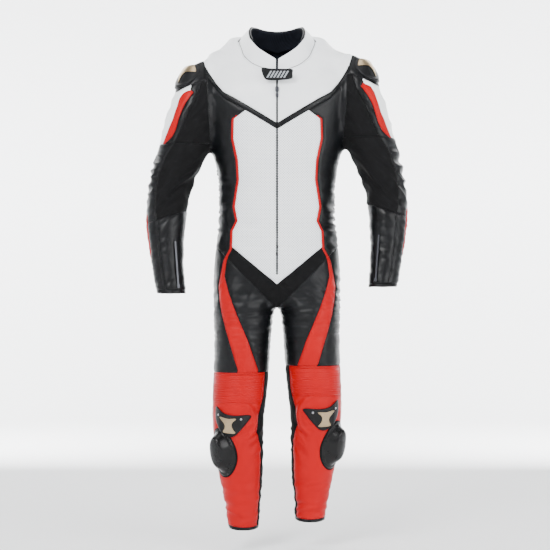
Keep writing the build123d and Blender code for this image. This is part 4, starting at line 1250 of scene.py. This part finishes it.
def knee_puck(side):
    """Slider with a flat rim, a raised wearing pad and a shallow groove between them."""
    axis = Vector(joint(f"knee_slider_pull_{side}")["axis"])
    middle = box_middle(f"knee_slider_{side}")
    centre = ground_at(middle, axis, smooth_tree)

    def pad(u, v):
        reach = math.hypot(u / 0.040, v / 0.066)
        core = 0.020 * (1 - smoothstep(0.56, 0.90, np.array(reach)).item())
        groove = 0.002 * math.exp(-((reach - 0.90) / 0.045) ** 2)
        return 0.0085 + core - 1.2 * (u * u) - groove - 1.0 * v * v

    puck = raised_piece(f"knee_slider_pad_{side}", centre, axis, mirrored(PUCK_SHAPE, side), pad, PUCK,
                        smooth_tree, rounding=3.5 * MM, rings=26,
                        sink=-2.4 * MM)
    place(puck, f"knee_slider_{side}", "puck_plastic", f"knee_slider_{side}")
    field = raised_piece(f"knee_slider_field_{side}", centre, axis,
                         [(u * 1.07, v * 1.05) for u, v in mirrored(PUCK_SHAPE, side)],
                         lambda u, v: 0.0022, HOOK_LOOP, smooth_tree, rounding=1.0 * MM)
    place(field, f"shin_{side}", "hook_loop", f"slider_patch_{side}")


def shoulder_armour(side):
    s = SIDES[side]
    body = f"upper_sleeve_{side}"
    middle = box_middle(f"shoulder_cup_{side}")
    outward = Vector((s * 0.72, -0.64, 0.27)).normalized()
    target = Vector((s * 0.250, -0.034, middle.z - 0.014))
    centre = ground_at(target, outward, smooth_tree)

    def shell(u, v):
        ridge = 0.0022 * math.exp(-((math.hypot(u, v) - 0.041) / 0.004) ** 2)
        return 0.0095 - 1.0 * (u * u + v * v) + ridge

    cup = raised_piece(f"shoulder_cup_shell_{side}", centre, outward, mirrored(SHOULDER_CUP, side), shell,
                       CUP_SHELL, smooth_tree, rounding=4 * MM)
    place(cup, body, "cup_plastic", f"shoulder_cup_{side}")

    def plate_face(u, v):
        return 0.0112 - 1.0 * (u * u + v * v)

    plate = raised_piece(f"shoulder_cup_plate_{side}", centre, outward, mirrored(CRESCENT, side),
                         plate_face,
                         BRONZE, smooth_tree, rounding=0.9 * MM, sink=-4 * MM)
    place(plate, body, "bronze_metal", f"shoulder_plate_{side}")


def collar():
    """Stand-up collar: two white halves that meet at the slot, a navy lining and a bound rim."""
    middle_y = 0.006
    turn = np.arctan2(neck_seam[:, 0], -(neck_seam[:, 1] - middle_y))
    order = np.argsort(turn)
    turn, seam = turn[order], neck_seam[order]
    columns, rows = 150, 12
    angles = np.linspace(math.radians(1.8), math.tau - math.radians(1.8), columns)
    base = np.stack([np.interp(angles, turn, seam[:, k], period=math.tau) for k in range(3)], axis=1)
    smooth = base.copy()
    for _ in range(8):
        smooth[1:-1] = (smooth[:-2] + 2 * smooth[1:-1] + smooth[2:]) / 4
    base = smooth
    away = np.degrees(np.minimum(angles, math.tau - angles))
    rim_z = np.interp(away, [0, 8, 20, 40, 60, 80, 100, 125, 150, 180],
                      [-0.030, -0.022, -0.011, 0.009, 0.036, 0.060, 0.072, 0.073, 0.068, 0.065])
    half = np.interp(away, [0, 40, 60, 80, 100, 180], [0.088, 0.088, 0.088, 0.081, 0.076, 0.070])
    depth = np.interp(away, [0, 40, 90, 180], [0.088, 0.084, 0.078, 0.068])
    rim = np.stack([half * np.sin(angles), middle_y - depth * np.cos(angles), rim_z], axis=1)
    for _ in range(6):
        rim[1:-1] = (rim[:-2] + 2 * rim[1:-1] + rim[2:]) / 4
    outwards = np.stack([np.sin(angles), -np.cos(angles), np.zeros(columns)], axis=1)

    def level(t, inset, drop, below, foot_flare=0.0):
        swell = 0.005 * math.sin(math.pi * t) + foot_flare * (1 - t) ** 5
        line = base + (rim - base) * t + outwards * (swell - inset)
        line[:, 2] -= drop * t + below * (1 - t)
        return line

    def wall(*shape):
        vertices = []
        for row in range(rows):
            vertices += [tuple(p) for p in level(row / (rows - 1), *shape)]
        faces = [(r * columns + k, r * columns + k + 1, (r + 1) * columns + k + 1, (r + 1) * columns + k)
                 for r in range(rows - 1) for k in range(columns - 1)]
        return vertices, faces

    shell = new_object("collar_outer", *wall(0.0, 0.0, 0.006, 0.0045), WHITE_HIDE)
    modify(shell, "SOLIDIFY", thickness=4.5 * MM, offset=-1.0)
    modify(shell, "SUBSURF", levels=1, render_levels=1)
    apply_modifiers(shell)
    shell.data.shade_smooth()
    place(shell, "torso", "white_leather", "collar_shell")
    # Black cord along the collar seam: partly the seam's stitching, partly a painted shade line, drawn black
    # on the white leather so that the seam shows.
    welt = level(0.17, -0.4 * MM, 0.0, 0.006, 0.0045)
    seam_thread_and_shade = tube_along([Vector(p) for p in welt], 0.7 * MM, "collar_seam_thread_and_shade", BLACK_THREAD, sides=8)
    place(seam_thread_and_shade, "torso", "black_leather")
    vertices, faces = wall(6.5 * MM, 1 * MM, 0.030)
    faces += [(r * columns + columns - 1, r * columns, (r + 1) * columns, (r + 1) * columns + columns - 1)
              for r in range(rows - 2)]
    lining = new_object("collar_inner", vertices, faces, LINING)
    modify(lining, "SOLIDIFY", thickness=3.0 * MM, offset=0.0)
    apply_modifiers(lining)
    place(lining, "torso", "black_stretch", "collar_lining")
    back = [k for k in range(columns) if away[k] > 52]
    binding = tube_along([Vector(rim[k]) - Vector(outwards[k]) * 0.003 + Vector((0, 0, 0.0005))
                          for k in back], 3.4 * MM, "collar_binding", BLACK_HIDE)
    place(binding, "torso", "black_leather")


def tube_along(points, radius, name, material, sides=12):
    """Round cord or binding through a line of points, tapered at both ends."""
    vertices, faces = [], []
    count = len(points)
    for k, point in enumerate(points):
        ahead = points[min(k + 1, count - 1)] - points[max(k - 1, 0)]
        ahead.normalize()
        first = ahead.cross(Vector((0, 0, 1)))
        if first.length < 0.05:
            first = ahead.cross(Vector((0, 1, 0)))
        first.normalize()
        second = ahead.cross(first)
        thick = radius * min(1.0, 0.3 + 0.25 * min(k, count - 1 - k))
        vertices += [point + (first * math.cos(t) + second * math.sin(t)) * thick
                     for t in np.linspace(0, math.tau, sides, endpoint=False)]
    for k in range(count - 1):
        for j in range(sides):
            n = (j + 1) % sides
            faces.append((k * sides + j, k * sides + n, (k + 1) * sides + n, (k + 1) * sides + j))
    faces.append(tuple(range(sides)))
    faces.append(tuple(reversed(range((count - 1) * sides, count * sides))))
    return new_object(name, vertices, faces, material)


def solid_bars(name, bars, material):
    """Many small blocks in one piece: each bar is its four front corners and the step to its back."""
    vertices, faces = [], []
    for corners, step in bars:
        n = len(vertices)
        middle = sum(corners, Vector()) / 4
        vertices += [middle + (c - middle) * 0.8 for c in corners]
        vertices += [c + step * 0.35 for c in corners]
        vertices += [c + step for c in corners]
        faces.append((n, n + 1, n + 2, n + 3))
        for k in range(4):
            m = (k + 1) % 4
            faces += [(n + m, n + k, n + 4 + k, n + 4 + m), (n + 4 + m, n + 4 + k, n + 8 + k, n + 8 + m)]
        faces.append((n + 11, n + 10, n + 9, n + 8))
    return new_object(name, vertices, faces, material, smooth=False)


def collar_tab():
    """Closing tab: a rolled leather edge round a rubber panel with even slanted ribs."""
    lowest, highest = Vector(low("collar_tab")), Vector(high("collar_tab"))
    middle = (lowest + highest) / 2
    front = Vector((middle.x, highest.y, middle.z))
    w, h = (highest.x - lowest.x) / 2, (highest.z - lowest.z) / 2
    outline = [(-w, h), (-w * 0.4, h * 0.9), (w * 0.4, h * 0.86), (w * 0.97, h * 0.8), (w, 0.1 * h),
               (w * 0.93, -h * 0.72), (w * 0.2, -h * 0.98), (-w * 0.5, -h),
               (-w * 0.84, -h * 0.6)]
    thick = highest.y - lowest.y

    def leather(u, v):
        reach = max(abs(u) / w, abs(v) / h)
        return thick + 0.0004 * math.exp(-((reach - 0.88) / 0.06) ** 2)

    tab = raised_piece("collar_tab_leather", front, (0, -1, 0), outline, leather, BLACK_HIDE,
                       rounding=1.4 * MM, sink=0.0)
    place(tab, "collar_tab", "black_leather", "collar_tab")
    bars = []
    lean = 0.011
    for k in range(6):
        x = middle.x - w * 0.70 + k * 0.0093
        top, bottom = middle.z + h * 0.50, middle.z - h * 0.60
        y = lowest.y - 0.0010
        corners = [Vector((x + lean, y, top)), Vector((x, y, bottom)), Vector((x + 0.0052, y, bottom)),
                   Vector((x + lean + 0.0052, y, top))]
        bars.append((corners, Vector((0, 0.0016, 0))))
    place(solid_bars("collar_tab_ribs", bars, RIB_PRINT), "collar_tab", "hook_loop")
    patch = frame["nodes"]["collar_tab_patch"]
    for holder in patch.material_slots:
        holder.material = HOOK_LOOP


def zip_chain(node, top, bottom, outward, body, tape_half, tree, pitch=3.0 * MM):
    """Two rows of meshing teeth on woven tape, sunk a little below the leather on both sides."""
    top, bottom, outward = Vector(top), Vector(bottom), Vector(outward).normalized()
    down = (bottom - top).normalized()
    across = down.cross(outward).normalized()
    count = int((bottom - top).length / pitch)

    def seated(spot):
        return spot + outward * ((ground_at(spot, outward, tree) - spot).dot(outward) - 0.8 * MM)

    bars = []
    for k in range(count * 2):
        spot = seated(top + down * (k + 0.5) * pitch / 2)
        shift = across * (0.9 * MM if k % 2 else -0.9 * MM)
        a, d = across * 1.7 * MM, down * 0.55 * MM
        corners = [spot + shift - a - d, spot + shift + a - d, spot + shift + a + d, spot + shift - a + d]
        bars.append((corners, outward * -1.8 * MM))
    teeth = solid_bars(f"{node}_teeth", bars, ZIP_TEETH)
    lengths = 24
    stops = [seated(top + (bottom - top) * k / lengths) - outward * 1.6 * MM for k in range(lengths + 1)]
    side_step = across * tape_half
    strips = [([a - side_step, a + side_step, b + side_step, b - side_step], outward * -1.0 * MM)
              for a, b in zip(stops, stops[1:])]
    woven_tape = solid_bars(f"{node}_tape", strips, STRETCH)
    place(teeth, body, "zip_metal", node)
    place(woven_tape, body, "black_stretch", node)


for side in SIDES:
    knee_armour(side)
    knee_puck(side)
    shoulder_armour(side)
collar()
collar_tab()
chain_low, chain_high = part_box("main_zip_chain")
chain_y = chain_low[1] + 0.6 * MM
zip_chain("main_zip_chain", (0, chain_y, chain_high[2]), (0, chain_y, chain_low[2]), (0, -1, 0), "torso",
          7 * MM, smooth_tree)

NODE_FINISH = {"back_protector": FOAM, "main_zip_slider": ZIP_METAL, "main_zip_pull": ZIP_METAL}
for side in SIDES:
    NODE_FINISH.update({f"cuff_zip_chain_{side}": ZIP_METAL, f"cuff_zip_slider_{side}": ZIP_METAL})
for name, material in NODE_FINISH.items():
    for holder in frame["nodes"][name].material_slots:
        holder.material = material


# ---- studio ----------------------------------------------------------------------------------------
def studio():
    floor_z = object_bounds()[0][2] - 0.06
    paint = moulded("white painted studio floor", "#f6f7f8", "#fbfbfc", 0.9, 0.05)
    floor_radius, sweep, wall_top, count = 4.2, 1.3, 2.6, 96
    profile = [(0.02, floor_z), (1.5, floor_z), (floor_radius, floor_z)]
    profile += [(floor_radius + sweep * math.sin(t), floor_z + sweep * (1 - math.cos(t)))
                for t in np.linspace(0.15, math.pi / 2, 10)]
    profile += [(floor_radius + sweep, floor_z + wall_top)]
    turns = np.linspace(0, math.tau, count, endpoint=False)
    vertices = [(r * math.cos(t), r * math.sin(t), z) for r, z in profile for t in turns]
    faces = [(row * count + k, row * count + (k + 1) % count, (row + 1) * count + (k + 1) % count,
              (row + 1) * count + k)
             for row in range(len(profile) - 1) for k in range(count)]
    faces.append(tuple(reversed(range(count))))
    new_object("studio_floor", vertices, faces, paint)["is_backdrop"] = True
    world = bpy.data.worlds.new("studio")
    world.use_nodes = True
    world.node_tree.nodes["Background"].inputs["Color"].default_value = (1.0, 1.0, 1.0, 1.0)
    world.node_tree.nodes["Background"].inputs["Strength"].default_value = 0.55
    bpy.context.scene.world = world
    lamps = (("key", (-1.6, -3.0, 1.4), 1.6, 150.0), ("fill", (2.4, -2.4, 0.2), 2.2, 90.0),
             ("top", (0.0, -0.4, 2.2), 2.0, 40.0),
             ("back left", (-1.7, 2.2, 1.6), 1.6, 60.0), ("back right", (1.7, 2.2, 1.6), 1.6, 60.0))
    for name, spot, size, power in lamps:
        lamp = bpy.data.lights.new(name, "AREA")
        lamp.energy = power
        lamp.size = size
        item = bpy.data.objects.new(name, lamp)
        item.location = spot
        aim = Vector((0.0, 0.0, -0.6)) - Vector(spot)
        item.rotation_euler = aim.to_track_quat("-Z", "Y").to_euler()
        bpy.context.scene.collection.objects.link(item)
    for x in (-1.6, 1.6):
        lamp = bpy.data.lights.new("wall light", "AREA")
        lamp.energy = 300.0
        lamp.size = 1.4
        item = bpy.data.objects.new("wall light", lamp)
        item.location = (x, 2.0, 0.2)
        item.rotation_euler = (math.radians(84), 0.0, 0.0)
        bpy.context.scene.collection.objects.link(item)


def camera():
    """Straight at the front from mid height through a long lens."""
    distance, framed_height = 4.6, 1.54
    lens = bpy.data.cameras.new("camera")
    lens.sensor_width = 36.0
    lens.lens = 36.0 * (distance - 0.05) / framed_height
    item = bpy.data.objects.new("camera", lens)
    item.location = (-0.0056, -distance, -0.630)
    item.rotation_euler = (math.radians(90), 0.0, 0.0)
    bpy.context.scene.collection.objects.link(item)
    bpy.context.scene.camera = item


studio()
camera()
